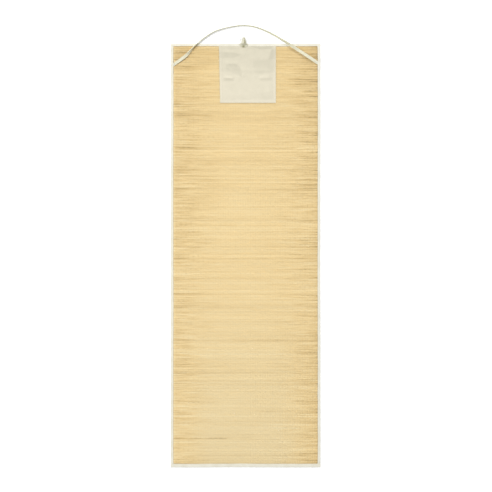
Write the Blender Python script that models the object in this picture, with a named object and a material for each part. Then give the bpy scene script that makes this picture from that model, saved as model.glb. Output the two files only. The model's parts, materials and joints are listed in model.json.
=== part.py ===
"""Straw beach mat with folded edge tapes, a pillow pocket, a blow-up valve and a carrying strap.

Units are metres and +Z is up. +Y points to the head end of the mat. The origin is the centre of
the straw sheet's flat underside, so the mat lies on the plane Z = 0.
"""

import math

import bmesh
import bpy
from mathutils import Vector

MM = 0.001
GAP = 0.3 * MM  # air kept between pieces that touch on the real mat
OVERCUT = 2 * MM  # a shape that cuts a hole reaches this far past the hole's mouth
SMOOTH_ANGLE = 40  # degrees; flatter edges than this are shaded round
STRAW_COLOR = (0.83, 0.65, 0.35)
CLOTH_COLOR = (0.86, 0.83, 0.74)
POCKET_COLOR = (0.80, 0.76, 0.62)
VINYL_COLOR = (0.80, 0.79, 0.68)
VINYL_ROUGHNESS = 0.35
GUIDE_COLOR = (0.5, 0.5, 0.5)

# Straw sheet with its tapes on
MAT_WIDTH = 600 * MM
MAT_LENGTH = 1700 * MM
STRAW_THICK = 2.6 * MM
STRAW_UNEVEN = 0.15 * MM  # thick and thin straws raise or drop the top by this much
LONG_BAND = 37 * MM  # thick and thin straws come in bands, which two waves of these lengths make
SHORT_BAND = 21.3 * MM
SHORT_SHARE = 0.6  # height of the short wave as a share of the long one's
SHORT_SHIFT = 2.0  # radians; keeps the two waves from starting together
BAND_DRIFT = 190 * MM  # length over which a band runs out of line across the mat
BAND_BEND = 1.3  # radians; how far out of line it runs
EDGE_SWAY = 0.5 * MM  # how far a sewn edge wanders from a straight line
SLOW_SHARE = 0.65  # the slower of the two waves of that wandering, as a share of it
SHEET_COLUMNS = 12
SHEET_ROWS = 60

# Edge tapes, folded over the straw
TAPE_THICK = 0.8 * MM
TAPE_COVER = 10.5 * MM  # head and sides
FOOT_COVER = 14.5 * MM
TAPE_STATION = 30 * MM
FOLD_RADIUS = 1.5 * MM
FOLD_ARC = (0, 30, 60, 90)  # degrees of the fold's corner points
PRESSED_RAMP = 4 * MM  # the straw thins over this width where it goes into a tape
UNDER_STEP = TAPE_THICK + GAP
TAPE_HEIGHT = STRAW_THICK + GAP + TAPE_THICK

# Height of the underside of whatever is laid on the straw
LAID = STRAW_THICK + STRAW_UNEVEN + GAP

# Pillow pocket
POCKET_LEFT = -106.5 * MM
POCKET_RIGHT = 122 * MM
POCKET_DRAWN_IN = 4.5 * MM  # the left side runs in by this much at its foot
POCKET_FOOT_Y = 612 * MM
POCKET_HEM = 9 * MM
POCKET_HEM_THICK = 0.9 * MM
POCKET_FILL = 2.2 * MM  # cloth, flat air pillow and cloth
POCKET_SWELL = 14 * MM  # width over which the filled part rises from the hem
POCKET_CELL = 9 * MM
FLAT_ANGLE = 0.02  # degrees; the flat underside's cells are joined below this

# Carrying strap
STRAP_WIDTH = 12.5 * MM
STRAP_THICK = 2.4 * MM
STRAP_END_THICK = 1.4 * MM
STRAP_TUCK = 15 * MM  # length of each end that stays thin, most of it under a side tape
STRAP_TAPER = 20 * MM
STRAP_SLANT = 30 * MM  # the cut at each end runs along the mat's side, and fades out over this
STRAP_RIM = 0.6  # bevel of the strap's long edges as a share of half its thickness
STRAP_STEP = 9 * MM
ROUTE_STEPS = 20  # points between two rows of the strap's route
STRAP_FALL = 0.06  # slope at which the upright strap comes down from the head tape to the ground
STRAP_CLEAR = STRAP_END_THICK + GAP
HUMP_FLAT = 17 * MM  # the side tape's hump over the strap is level this far to both sides
HUMP_RAMP = 16 * MM

# Valve
VALVE_X = -6.8 * MM
VALVE_FLOOR = LAID + POCKET_HEM_THICK + GAP
VALVE_SIDES = 20
BORE_RADIUS = 2.6 * MM
BORE_DEPTH = 10 * MM
PLUG_RADIUS = 6.2 * MM
PLUG_THICK = 2.6 * MM
PLUG_SHANK = 8.5 * MM
PLUG_BEVEL = 0.5 * MM
PULL_THICK = 1.0 * MM
PULL_HEIGHT = 4.0 * MM
PULL_STEPS = 3  # points between two rows of the pull strip's route

HALF_WIDTH = MAT_WIDTH / 2
HALF_LENGTH = MAT_LENGTH / 2

# Strap route seen from above, in millimetres, from the left end to the right end. The turn is 0
# degrees where the strap lies flat and 90 where it stands on its edge. The lift is the air under it
# where it bows up between two places that hold it.
STRAP_ROUTE = (
    # x, y, turn, lift
    (-296.0, 760.3, 0, 0.0),
    (-284.0, 768.5, 0, 0.0),
    (-259.3, 785.5, 0, 2.5),
    (-236.5, 803.0, 18, 2.5),
    (-219.5, 821.0, 66, 1.5),
    (-205.5, 838.0, 88, 0.5),
    (-188.5, 853.5, 90, 0.0),
    (-160.0, 876.5, 90, 0.0),
    (-124.0, 898.5, 90, 0.0),
    (-84.0, 911.5, 90, 0.0),
    (-40.0, 920.0, 88, 0.0),
    (-4.0, 922.5, 84, 0.0),
    (40.0, 915.5, 78, 0.0),
    (82.0, 900.0, 74, 0.0),
    (118.0, 881.5, 70, 0.0),
    (146.0, 864.0, 60, 0.5),
    (166.0, 851.5, 46, 1.5),
    (186.0, 839.5, 26, 2.5),
    (222.0, 816.5, 4, 4.0),
    (258.0, 793.0, 0, 3.5),
    (284.5, 775.7, 0, 0.0),
    (296.5, 767.9, 0, 0.0),
)

# Soft ridges and hollows of the pocket, in millimetres: the two ends, the half width and the rise
POCKET_CREASES = (
    # from x, from y, to x, to y, half width, rise
    (-90, 713, -56, 711, 6, 1.5),
    (64, 712, 106, 714, 6, 1.2),
    (-76, 768, -42, 766, 8, 1.2),
    (-42, 766, -18, 722, 8, 1.1),
    (-104, 818, -46, 816, 8, 1.0),
    (86, 832, 118, 800, 8, 1.0),
    (30, 792, 104, 788, 12, 0.7),
    (-10, 743, 112, 739, 8, 0.5),
    (98, 662, 106, 626, 9, 0.8),
)

# Valve body from the pillow to the plug, in millimetres
VALVE_PROFILE = (
    # y, half width, half height
    (834.0, 6.0, 0.4),
    (837.0, 12.0, 0.5),
    (842.5, 15.6, 1.0),
    (846.0, 15.6, 2.0),
    (848.0, 11.0, 4.2),
    (853.0, 9.2, 5.4),
    (861.0, 7.0, 5.2),
    (868.0, 5.6, 4.4),
    (871.0, 5.2, 3.8),
)

# Pull strip of the plug seen from above, in millimetres, from the plug to its foot at the flange
PULL_ROUTE = (
    # x, y
    (-9.0, 872.6),
    (-15.0, 873.8),
    (-20.5, 873.2),
    (-23.2, 869.0),
    (-23.4, 862.0),
    (-22.6, 855.0),
    (-21.2, 848.6),
)

# Sewn edges wander in half waves that end at the corners: counts of half waves along each edge
SWAY_WAVES = {"left": (4, 9), "right": (3, 8), "head": (2, 5), "foot": (3, 4)}


def clear_objects():
    for thing in list(bpy.data.objects):
        bpy.data.objects.remove(thing, do_unlink=True)


def finish(name, color, roughness=0.8):
    """A plain material of its own for one piece."""
    material = bpy.data.materials.new(name)
    material.use_nodes = True
    shader = material.node_tree.nodes["Principled BSDF"]
    shader.inputs["Base Color"].default_value = (*color, 1.0)
    shader.inputs["Roughness"].default_value = roughness
    shader.inputs["Metallic"].default_value = 0.0
    return material


def add_object(name, shape, color, roughness=0.8):
    """Turns a bmesh into an object with its faces pointing out."""
    bmesh.ops.recalc_face_normals(shape, faces=shape.faces)
    mesh = bpy.data.meshes.new(name)
    shape.to_mesh(mesh)
    shape.free()
    thing = bpy.data.objects.new(name, mesh)
    bpy.context.scene.collection.objects.link(thing)
    mesh.materials.append(finish(name, color, roughness))
    return thing


def combine(thing, other, operation):
    """Adds a second shape to a piece, or cuts it away, and keeps the second shape as a hidden guide."""
    other.hide_render = True
    other.display_type = "WIRE"
    modifier = thing.modifiers.new(other.name, "BOOLEAN")
    modifier.operation = operation
    modifier.object = other
    modifier.solver = "EXACT"


def ease(value):
    """Smooth step from 0 to 1."""
    value = min(max(value, 0.0), 1.0)
    return value * value * (3 - 2 * value)


def even_steps(start, end, longest):
    count = max(1, math.ceil((end - start) / longest))
    return [start + (end - start) * i / count for i in range(count + 1)]


def sway(edge, along, length):
    """How far a sewn edge stands out at a place along it, with 0 at both corners."""
    share = min(max(along / length + 0.5, 0.0), 1.0)
    slow, quick = SWAY_WAVES[edge]
    slow_wave = SLOW_SHARE * math.sin(slow * math.pi * share)
    quick_wave = (1 - SLOW_SHARE) * math.sin(quick * math.pi * share)
    return EDGE_SWAY * (slow_wave + quick_wave)


def loft(rings):
    """One closed body through rings of points, with flat ends."""
    shape = bmesh.new()
    rows = [[shape.verts.new(point) for point in ring] for ring in rings]
    count = len(rows[0])
    for low, high in zip(rows, rows[1:]):
        for i in range(count):
            j = (i + 1) % count
            shape.faces.new((low[i], low[j], high[j], high[i]))
    shape.faces.new(rows[0])
    shape.faces.new(list(reversed(rows[-1])))
    return shape


def slab(xs, ys, place, top, bottom):
    """A closed sheet over a grid, with a height for its top and its underside at each place."""
    shape = bmesh.new()
    upper = [[shape.verts.new((*place(x, y), top(x, y))) for x in xs] for y in ys]
    lower = [[shape.verts.new((*place(x, y), bottom(x, y))) for x in xs] for y in ys]
    rows, columns = len(ys) - 1, len(xs) - 1
    for r in range(rows):
        for c in range(columns):
            shape.faces.new((upper[r][c], upper[r][c + 1], upper[r + 1][c + 1], upper[r + 1][c]))
            shape.faces.new((lower[r][c], lower[r + 1][c], lower[r + 1][c + 1], lower[r][c + 1]))
    for r in range(rows):
        for c in (0, columns):
            shape.faces.new((upper[r][c], upper[r + 1][c], lower[r + 1][c], lower[r][c]))
    for c in range(columns):
        for r in (0, rows):
            shape.faces.new((upper[r][c], lower[r][c], lower[r][c + 1], upper[r][c + 1]))
    return shape


def straw_edge(x, y):
    """Moves a place on the straight sheet to where it lies on the sheet with wandering edges."""
    left = -sway("left", y, MAT_LENGTH)
    right = sway("right", y, MAT_LENGTH)
    foot = -sway("foot", x, MAT_WIDTH)
    head = sway("head", x, MAT_WIDTH)
    across = x / MAT_WIDTH + 0.5
    along = y / MAT_LENGTH + 0.5
    return x + left + (right - left) * across, y + foot + (head - foot) * along


def in_tape(x, y):
    """1 where the straw is held in a tape, 0 out in the open, with a short ramp between."""
    depth = min(
        HALF_WIDTH - abs(x) - TAPE_COVER,
        HALF_LENGTH - y - TAPE_COVER,
        HALF_LENGTH + y - FOOT_COVER,
    )
    return 1.0 - ease(depth / PRESSED_RAMP)


def straw_top(x, y):
    long_wave = math.sin(y / LONG_BAND + BAND_BEND * math.sin(x / BAND_DRIFT))
    short_wave = math.sin(y / SHORT_BAND + SHORT_SHIFT)
    band = (long_wave + SHORT_SHARE * short_wave) / (1 + SHORT_SHARE)
    return STRAW_THICK + STRAW_UNEVEN * band * (1.0 - in_tape(x, y))


def straw_bottom(x, y):
    return UNDER_STEP * in_tape(x, y)


def sheet_lines(low, high, low_cover, high_cover, count):
    """Grid lines across the sheet, with extra ones where it thins at the tapes."""
    start = low + low_cover + PRESSED_RAMP
    end = high - high_cover - PRESSED_RAMP
    inner = [start + (end - start) * i / count for i in range(count + 1)]
    reach = TAPE_THICK + GAP
    return [low + reach, low + low_cover, *inner, high - high_cover, high - reach]


def make_straw_mat():
    xs = sheet_lines(-HALF_WIDTH, HALF_WIDTH, TAPE_COVER, TAPE_COVER, SHEET_COLUMNS)
    ys = sheet_lines(-HALF_LENGTH, HALF_LENGTH, FOOT_COVER, TAPE_COVER, SHEET_ROWS)
    shape = slab(xs, ys, straw_edge, straw_top, straw_bottom)
    return add_object("straw_mat", shape, STRAW_COLOR)


def strap_end(edge):
    """Where an end of the strap goes under this side tape, or None."""
    row = {"left": STRAP_ROUTE[0], "right": STRAP_ROUTE[-1]}.get(edge)
    return None if row is None else row[1] * MM


def strap_hump(edge, along):
    """Extra height of a side tape where it runs over an end of the strap."""
    if strap_end(edge) is None:
        return 0.0
    away = abs(along - strap_end(edge))
    return (STRAP_CLEAR + STRAW_UNEVEN) * (1.0 - ease((away - HUMP_FLAT) / HUMP_RAMP))


def tape_outline(cover, hump):
    """Outside of a folded tape as (distance in from the edge, height), round at the fold."""
    height = TAPE_HEIGHT + hump
    arc = [math.radians(a) for a in FOLD_ARC]
    low = [(FOLD_RADIUS * (1 - math.sin(a)), FOLD_RADIUS * (1 - math.cos(a))) for a in arc]
    high = [(inward, height - up) for inward, up in reversed(low)]
    return [(cover, 0.0), *low, *high, (cover, height)]


def tape_inside(cover, hump):
    """Space inside a folded tape, running out past its open side."""
    past = cover + OVERCUT
    low, high = TAPE_THICK, TAPE_HEIGHT + hump - TAPE_THICK
    return [(past, low), (TAPE_THICK, low), (TAPE_THICK, high), (past, high)]


def tape_ring(edge, along, section):
    """Stands a section up at one place along an edge of the mat."""
    length = MAT_LENGTH if edge in ("left", "right") else MAT_WIDTH
    out = sway(edge, along, length)
    ring = []
    for inward, up in section:
        if edge == "left":
            ring.append((-HALF_WIDTH - out + inward, along, up))
        elif edge == "right":
            ring.append((HALF_WIDTH + out - inward, along, up))
        elif edge == "head":
            ring.append((along, HALF_LENGTH + out - inward, up))
        else:
            ring.append((along, -HALF_LENGTH - out + inward, up))
    return ring


def make_tape(edge, start, end, cover, closed_ends):
    """A strip folded round one edge. Its ends are turned in where they show, at the corners."""
    middle = strap_end(edge)
    stations = even_steps(start, end, TAPE_STATION)
    if middle is not None:
        ramp = [HUMP_FLAT + HUMP_RAMP * share for share in (0, 1 / 3, 2 / 3, 1)]
        clear = ramp[-1] + TAPE_STATION / 3
        stations = [s for s in stations if abs(s - middle) > clear]
        stations = sorted(stations + [middle] + [middle + side * r for r in ramp for side in (-1, 1)])
    outer = [tape_ring(edge, s, tape_outline(cover, strap_hump(edge, s))) for s in stations]
    tape = add_object(f"tape_{edge}", loft(outer), CLOTH_COLOR)
    wall = TAPE_THICK if closed_ends else -OVERCUT
    inner_stations = [start + wall, *stations[1:-1], end - wall]
    inner = [tape_ring(edge, s, tape_inside(cover, strap_hump(edge, s))) for s in inner_stations]
    hollow = add_object(f"tape_{edge}_inside", loft(inner), GUIDE_COLOR)
    combine(tape, hollow, "DIFFERENCE")
    return tape


def make_tapes():
    side_start = -HALF_LENGTH + FOOT_COVER + EDGE_SWAY + GAP
    side_end = HALF_LENGTH - TAPE_COVER - EDGE_SWAY - GAP
    make_tape("head", -HALF_WIDTH, HALF_WIDTH, TAPE_COVER, True)
    make_tape("foot", -HALF_WIDTH, HALF_WIDTH, FOOT_COVER, True)
    make_tape("left", side_start, side_end, TAPE_COVER, False)
    make_tape("right", side_start, side_end, TAPE_COVER, False)


def distance_to_line(x, y, x0, y0, x1, y1):
    run = Vector((x1 - x0, y1 - y0))
    reach = Vector((x - x0, y - y0))
    share = min(max(reach.dot(run) / run.length_squared, 0.0), 1.0)
    return (reach - run * share).length


def pocket_relief(x, y):
    """Height that the creases add or take away, in metres."""
    rise = 0.0
    for x0, y0, x1, y1, half_width, height in POCKET_CREASES:
        away = distance_to_line(x / MM, y / MM, x0, y0, x1, y1)
        rise += height * MM * math.exp(-((away / half_width) ** 2))
    return rise


def make_pillow_pocket():
    low_x, high_x = POCKET_LEFT, POCKET_RIGHT
    low_y = POCKET_FOOT_Y
    high_y = HALF_LENGTH - TAPE_COVER - EDGE_SWAY - GAP

    def top(x, y):
        inside = min(x - low_x, high_x - x, y - low_y, high_y - y)
        swell = ease((inside - POCKET_HEM) / POCKET_SWELL)
        return LAID + POCKET_HEM_THICK + swell * (POCKET_FILL - POCKET_HEM_THICK + pocket_relief(x, y))

    def place(x, y):
        drawn = POCKET_DRAWN_IN * (high_y - y) / (high_y - low_y)
        return x + drawn * (high_x - x) / (high_x - low_x), y

    inner_x = even_steps(low_x + POCKET_HEM, high_x - POCKET_HEM, POCKET_CELL)
    inner_y = even_steps(low_y + POCKET_HEM, high_y - POCKET_HEM, POCKET_CELL)
    xs, ys = [low_x, *inner_x, high_x], [low_y, *inner_y, high_y]
    shape = slab(xs, ys, place, top, lambda x, y: LAID)
    flat = math.radians(FLAT_ANGLE)
    bmesh.ops.dissolve_limit(shape, angle_limit=flat, verts=shape.verts, edges=shape.edges)
    return add_object("pillow_pocket", shape, POCKET_COLOR)


def smooth_point(rows, position):
    """A place on the smooth curve through the rows of a table."""
    index = min(int(position), len(rows) - 2)
    share = position - index
    before = rows[max(index - 1, 0)]
    after = rows[min(index + 2, len(rows) - 1)]
    here, there = rows[index], rows[index + 1]
    found = []
    for p0, p1, p2, p3 in zip(before, here, there, after):
        slope_in, slope_out = (p2 - p0) / 2, (p3 - p1) / 2
        curve = 2 * p1 - 2 * p2 + slope_in + slope_out
        bend = -3 * p1 + 3 * p2 - 2 * slope_in - slope_out
        found.append(p1 + slope_in * share + bend * share**2 + curve * share**3)
    return found


def strap_stations():
    """Evenly spaced (x, y, turn, lift) along the strap, in metres and radians."""
    count = ROUTE_STEPS * (len(STRAP_ROUTE) - 1)
    fine = [smooth_point(STRAP_ROUTE, i / ROUTE_STEPS) for i in range(count + 1)]
    fine = [(x * MM, y * MM, math.radians(turn), max(lift, 0.0) * MM) for x, y, turn, lift in fine]
    lengths = [0.0]
    for a, b in zip(fine, fine[1:]):
        lengths.append(lengths[-1] + math.dist(a[:2], b[:2]))
    count = round(lengths[-1] / STRAP_STEP)
    stations, k = [], 0
    for i in range(count + 1):
        goal = lengths[-1] * i / count
        while k < len(lengths) - 2 and lengths[k + 1] < goal:
            k += 1
        share = (goal - lengths[k]) / (lengths[k + 1] - lengths[k])
        stations.append([a + (b - a) * share for a, b in zip(fine[k], fine[k + 1])])
    return stations, lengths[-1]


def strap_support(y, reach):
    """Height of what lies under the strap: the straw, the head tape or the ground."""
    tape_top = TAPE_HEIGHT + GAP
    if y + reach < HALF_LENGTH - TAPE_COVER - 2 * EDGE_SWAY - GAP:
        return LAID
    if y - reach < HALF_LENGTH + EDGE_SWAY + GAP:
        return tape_top
    return 0.0


def strap_corners(thick):
    """The strap's section, flat with bevelled edges, as (across, up)."""
    w, h = STRAP_WIDTH / 2, thick / 2
    rim = STRAP_RIM * h
    right = [(w, -h + rim), (w, h - rim), (w - rim, h)]
    return right + [(-a, b) for a, b in reversed(right)] + [(rim - w, -h), (w - rim, -h)]


def make_carry_strap():
    stations, length = strap_stations()
    step = length / (len(stations) - 1)
    supports = []
    for _, y, turn, _ in stations:
        reach = STRAP_WIDTH / 2 * math.cos(turn) + STRAP_THICK / 2
        supports.append(strap_support(y, reach))
    rings = []
    for i, (x, y, turn, lift) in enumerate(stations):
        # the strap is stiff, so it comes down from each support at a gentle slope
        floor = max(s - STRAP_FALL * step * abs(i - k) for k, s in enumerate(supports))
        before, after = stations[max(i - 1, 0)], stations[min(i + 1, len(stations) - 1)]
        forward = Vector((after[0] - before[0], after[1] - before[1], 0)).normalized()
        outward = Vector((-forward.y, forward.x, 0))
        wide = outward * math.cos(turn) + Vector((0, 0, 1)) * math.sin(turn)
        thin = forward.cross(wide)
        from_end = min(i, len(stations) - 1 - i) * step
        taper = ease((from_end - STRAP_TUCK) / STRAP_TAPER)
        thick = STRAP_END_THICK + (STRAP_THICK - STRAP_END_THICK) * taper
        slant = forward * (-wide.x / forward.x) * (1.0 - ease(from_end / STRAP_SLANT))
        offsets = [(wide + slant) * a + thin * b for a, b in strap_corners(thick)]
        lowest = min(offset.z for offset in offsets)
        centre = Vector((x, y, floor + lift - lowest))
        rings.append([centre + offset for offset in offsets])
    return add_object("carry_strap", loft(rings), CLOTH_COLOR)


def ellipse_ring(y, half_width, half_height, axis_z):
    turns = [2 * math.pi * i / VALVE_SIDES for i in range(VALVE_SIDES)]
    return [(VALVE_X + half_width * math.cos(t), y, axis_z + half_height * math.sin(t)) for t in turns]


def make_valve():
    rows = [(y * MM, w * MM, h * MM) for y, w, h in VALVE_PROFILE]
    tip_y, _, tip_height = rows[-1]
    axis_z = VALVE_FLOOR + tip_height
    body = loft([ellipse_ring(y, w, h, VALVE_FLOOR + h) for y, w, h in rows])
    stem = add_object("valve_stem", body, VINYL_COLOR, VINYL_ROUGHNESS)
    bore_ends = (tip_y - BORE_DEPTH, tip_y + OVERCUT)
    bore = loft([ellipse_ring(y, BORE_RADIUS, BORE_RADIUS, axis_z) for y in bore_ends])
    combine(stem, add_object("valve_bore", bore, GUIDE_COLOR), "DIFFERENCE")

    face = tip_y + GAP
    shank = BORE_RADIUS - GAP
    bevel = PLUG_BEVEL
    profile = (
        (face - PLUG_SHANK, shank - bevel),
        (face - PLUG_SHANK + 2 * bevel, shank),
        (face, shank),
        (face, PLUG_RADIUS - bevel),
        (face + bevel, PLUG_RADIUS),
        (face + PLUG_THICK - bevel, PLUG_RADIUS),
        (face + PLUG_THICK, PLUG_RADIUS - bevel),
    )
    body = loft([ellipse_ring(y, r, r, axis_z) for y, r in profile])
    plug = add_object("valve_plug", body, VINYL_COLOR, VINYL_ROUGHNESS)
    combine(plug, make_pull_strip(axis_z), "UNION")


def make_pull_strip(axis_z):
    """The flat strip that ties the plug to the flange of the stem."""
    count = PULL_STEPS * (len(PULL_ROUTE) - 1)
    places = [smooth_point(PULL_ROUTE, i / PULL_STEPS) for i in range(count + 1)]
    points = [Vector((*place, 0)) * MM for place in places]
    rings = []
    for i, point in enumerate(points):
        forward = (points[min(i + 1, count)] - points[max(i - 1, 0)]).normalized()
        side = Vector((-forward.y, forward.x, 0)) * PULL_THICK / 2
        tall = PULL_HEIGHT / 2
        ring = [point + side, point - side, point - side, point + side]
        heights = (axis_z - tall, axis_z - tall, axis_z + tall, axis_z + tall)
        rings.append([Vector((p.x, p.y, z)) for p, z in zip(ring, heights)])
    return add_object("valve_pull", loft(rings), GUIDE_COLOR)


def round_off(names):
    """Smooth shading on round pieces, with their real edges kept sharp."""
    for name in names:
        mesh = bpy.data.objects[name].data
        mesh.shade_smooth()
        mesh.set_sharp_from_angle(angle=math.radians(SMOOTH_ANGLE))


def main():
    clear_objects()
    make_straw_mat()
    make_tapes()
    make_pillow_pocket()
    make_carry_strap()
    make_valve()
    round_off(("carry_strap", "valve_stem", "valve_plug", "pillow_pocket"))


main()
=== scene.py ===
# %% [markdown]
# # A straw beach mat, dressed for the camera
#
# The solids of the mat are already packed: a straw sheet, four folded edge tapes, a pillow pocket,
# a carrying strap and the blow-up valve of the flat pillow in the pocket. This script loads them as
# a fixed frame and makes the fine surface of each one around it: every straw and thread of the
# weave, the cloth, the seams and the vinyl.

# %% Load the frame
import json
import math

import bmesh
import bpy
import numpy as np
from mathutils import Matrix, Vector

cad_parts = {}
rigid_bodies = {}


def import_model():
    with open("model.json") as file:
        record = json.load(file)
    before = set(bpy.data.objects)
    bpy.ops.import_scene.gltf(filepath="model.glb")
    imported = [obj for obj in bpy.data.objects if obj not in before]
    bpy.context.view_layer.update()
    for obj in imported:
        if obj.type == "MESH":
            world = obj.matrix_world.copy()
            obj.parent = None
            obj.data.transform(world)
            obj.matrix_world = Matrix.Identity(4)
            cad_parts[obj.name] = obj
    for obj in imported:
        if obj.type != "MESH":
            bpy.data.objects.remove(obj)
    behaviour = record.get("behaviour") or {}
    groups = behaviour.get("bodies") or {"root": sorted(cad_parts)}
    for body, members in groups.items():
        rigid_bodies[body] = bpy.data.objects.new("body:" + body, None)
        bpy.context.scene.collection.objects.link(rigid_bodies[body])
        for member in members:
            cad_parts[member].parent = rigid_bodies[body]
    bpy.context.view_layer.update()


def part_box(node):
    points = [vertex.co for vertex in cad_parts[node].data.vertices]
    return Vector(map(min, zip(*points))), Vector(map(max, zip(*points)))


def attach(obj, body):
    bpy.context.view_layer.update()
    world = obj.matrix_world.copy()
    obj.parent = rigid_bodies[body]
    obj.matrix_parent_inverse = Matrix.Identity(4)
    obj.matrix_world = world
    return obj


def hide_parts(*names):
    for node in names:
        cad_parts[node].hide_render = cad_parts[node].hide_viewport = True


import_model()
MM = 0.001

# %% [markdown]
# ## Sizes
#
# The mat is 60 by 170 cm over its tapes. The straw sheet inside is a little smaller, because the
# tapes' cloth and a little air go round it. TAPE_TOP and LAID are heights above the ground: the top
# of a tape, and the underside of what is laid on the straw. The cover is how far a tape reaches in
# over the straw.

# %% Sizes that several pieces share
straw_low, straw_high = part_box("straw_mat")
HALF_WIDTH = 300 * MM
HALF_LENGTH = 850 * MM
TAPE_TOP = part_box("tape_head")[1].z
LAID = 3.05 * MM
TAPE_COVER = 10.5 * MM
FOOT_COVER = 14.5 * MM
print("straw sheet", [round(v / MM, 1) for v in (*straw_low, *straw_high)], "mm")


# %% [markdown]
# ## Camera, floor and light
#
# The mat was seen from straight above with its head end up, so the camera hangs six metres over it
# and looks down. A long lens keeps the four edges parallel. The view takes in 1.975 m, and the mat
# sits a little below the middle of it. A large soft lamp stands high on the left. A smaller one
# beyond the head end shades the lower side of the strap's arc, and an even white surround fills the
# shadows. The floor is the plainest kind of object: a mesh made from a list of points and a list of
# faces. It glows faintly, so that it stays white where the strap takes the light from it.

# %% Camera
VIEW_WIDTH = 1.975
CAMERA_HEIGHT = 6.0
SENSOR = 36.0
camera_data = bpy.data.cameras.new("camera")
camera_data.sensor_width = SENSOR
camera_data.lens = SENSOR * CAMERA_HEIGHT / VIEW_WIDTH
camera = bpy.data.objects.new("camera", camera_data)
camera.location = (2 * MM, 37.8 * MM, CAMERA_HEIGHT)
bpy.context.scene.collection.objects.link(camera)
bpy.context.scene.camera = camera
bpy.context.scene.view_settings.view_transform = "Standard"
print("lens", round(camera_data.lens, 1), "mm")

# %% A mesh from points and faces
def add_mesh(name, points, faces, smooth=True):
    mesh = bpy.data.meshes.new(name)
    mesh.from_pydata([tuple(p) for p in points], [], [tuple(f) for f in faces])
    mesh.validate()
    if smooth:
        mesh.shade_smooth()
    piece = bpy.data.objects.new(name, mesh)
    bpy.context.scene.collection.objects.link(piece)
    return piece


# %% Floor
FLOOR_DROP = 0.2 * MM
FLOOR_REACH = 30.0
FLOOR_GLOW = 0.2
CORNERS = ((-1, -1), (1, -1), (1, 1), (-1, 1))
floor_points = [(x * FLOOR_REACH, y * FLOOR_REACH, -FLOOR_DROP) for x, y in CORNERS]
floor = add_mesh("floor", floor_points, [(0, 1, 2, 3)], smooth=False)
floor_paint = bpy.data.materials.new("floor")
floor_paint.use_nodes = True
paint = floor_paint.node_tree.nodes["Principled BSDF"].inputs
paint["Base Color"].default_value = (0.92, 0.92, 0.92, 1)
paint["Roughness"].default_value = 0.9
paint["Emission Color"].default_value = (1, 1, 1, 1)
paint["Emission Strength"].default_value = FLOOR_GLOW
floor.data.materials.append(floor_paint)
print("floor", round(2 * FLOOR_REACH), "m wide")

# %% Light
SURROUND_LIGHT = 0.42
world = bpy.data.worlds.new("surround")
world.use_nodes = True
sky = world.node_tree.nodes["Background"].inputs
sky["Color"].default_value = (1, 1, 1, 1)
sky["Strength"].default_value = SURROUND_LIGHT
bpy.context.scene.world = world


def add_lamp(name, place, target, size, power):
    data = bpy.data.lights.new(name, "AREA")
    data.shape = "RECTANGLE"
    data.size, data.size_y = size
    data.energy = power
    lamp = bpy.data.objects.new(name, data)
    lamp.location = place
    lamp.rotation_euler = (Vector(target) - Vector(place)).to_track_quat("-Z", "Y").to_euler()
    bpy.context.scene.collection.objects.link(lamp)
    print("lamp", name, size, "m", power, "W")


add_lamp("key", place=(-5.4, 2.4, 9.0), target=(0, 0, 0), size=(5.0, 5.0), power=770)
add_lamp("head_end", place=(3.4, 6.6, 5.4), target=(0, 0.1, 0), size=(1.6, 1.6), power=290)


# %% [markdown]
# ## Finishes
#
# Straw is shiny, stringy and never one colour: each stalk has its own tone, which darkens and
# lightens along it, with fine fibres running its whole length. The tone of each straw is an
# attribute on its points, worked out further down, and this material turns it into colour. It also
# fades the middle of the mat's foot end a little. A finish is a tree of nodes, and the helpers below
# add and link a node in one line.

# %% Helpers for nodes
def add(tree, kind, inputs=None, out=0, **settings):
    """Adds a node, fills its inputs with values or other nodes' outputs, and gives one output back."""
    node = tree.nodes.new(kind)
    for key, value in settings.items():
        setattr(node, key, value)
    for key, value in (inputs or {}).items():
        if isinstance(value, bpy.types.NodeSocket):
            tree.links.new(value, node.inputs[key])
        else:
            node.inputs[key].default_value = value
    return node.outputs[out]


def calc(tree, operation, first, second=0.0, third=0.0):
    return add(tree, "ShaderNodeMath", {0: first, 1: second, 2: third}, operation=operation)


def scale_range(tree, value, low, high, to_low=0.0, to_high=1.0, smooth=True):
    kind = "SMOOTHSTEP" if smooth else "LINEAR"
    ends = {"Value": value, "From Min": low, "From Max": high, "To Min": to_low, "To Max": to_high}
    return add(tree, "ShaderNodeMapRange", ends, interpolation_type=kind)


def stretch(tree, x, x_scale, y, y_scale):
    """A point in the plane for a noise to be read at."""
    scaled = {"X": calc(tree, "MULTIPLY", x, x_scale), "Y": calc(tree, "MULTIPLY", y, y_scale)}
    return add(tree, "ShaderNodeCombineXYZ", scaled)


def noise(tree, place, scale=1.0, detail=2.0, **inputs):
    return add(tree, "ShaderNodeTexNoise", {"Vector": place, "Scale": scale, "Detail": detail, **inputs})


def vary(tree, noise_value, amount, value):
    """Moves a value up and down with a noise, which lies around one half."""
    return calc(tree, "MULTIPLY_ADD", calc(tree, "SUBTRACT", noise_value, 0.5), amount, value)


# %% Helpers for materials
def new_finish(name, roughness=0.8, **sockets):
    """A material and its tree, with the values that are the same all over set on the shader."""
    material = bpy.data.materials.new(name)
    material.use_nodes = True
    shader = material.node_tree.nodes["Principled BSDF"]
    shader.inputs["Roughness"].default_value = roughness
    for key, value in sockets.items():
        shader.inputs[key.replace("_", " ")].default_value = value
    return material, material.node_tree, shader


def object_place(tree):
    return add(tree, "ShaderNodeTexCoord", out="Object")


def attribute(tree, name):
    return add(tree, "ShaderNodeAttribute", attribute_name=name, out="Fac")


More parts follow.
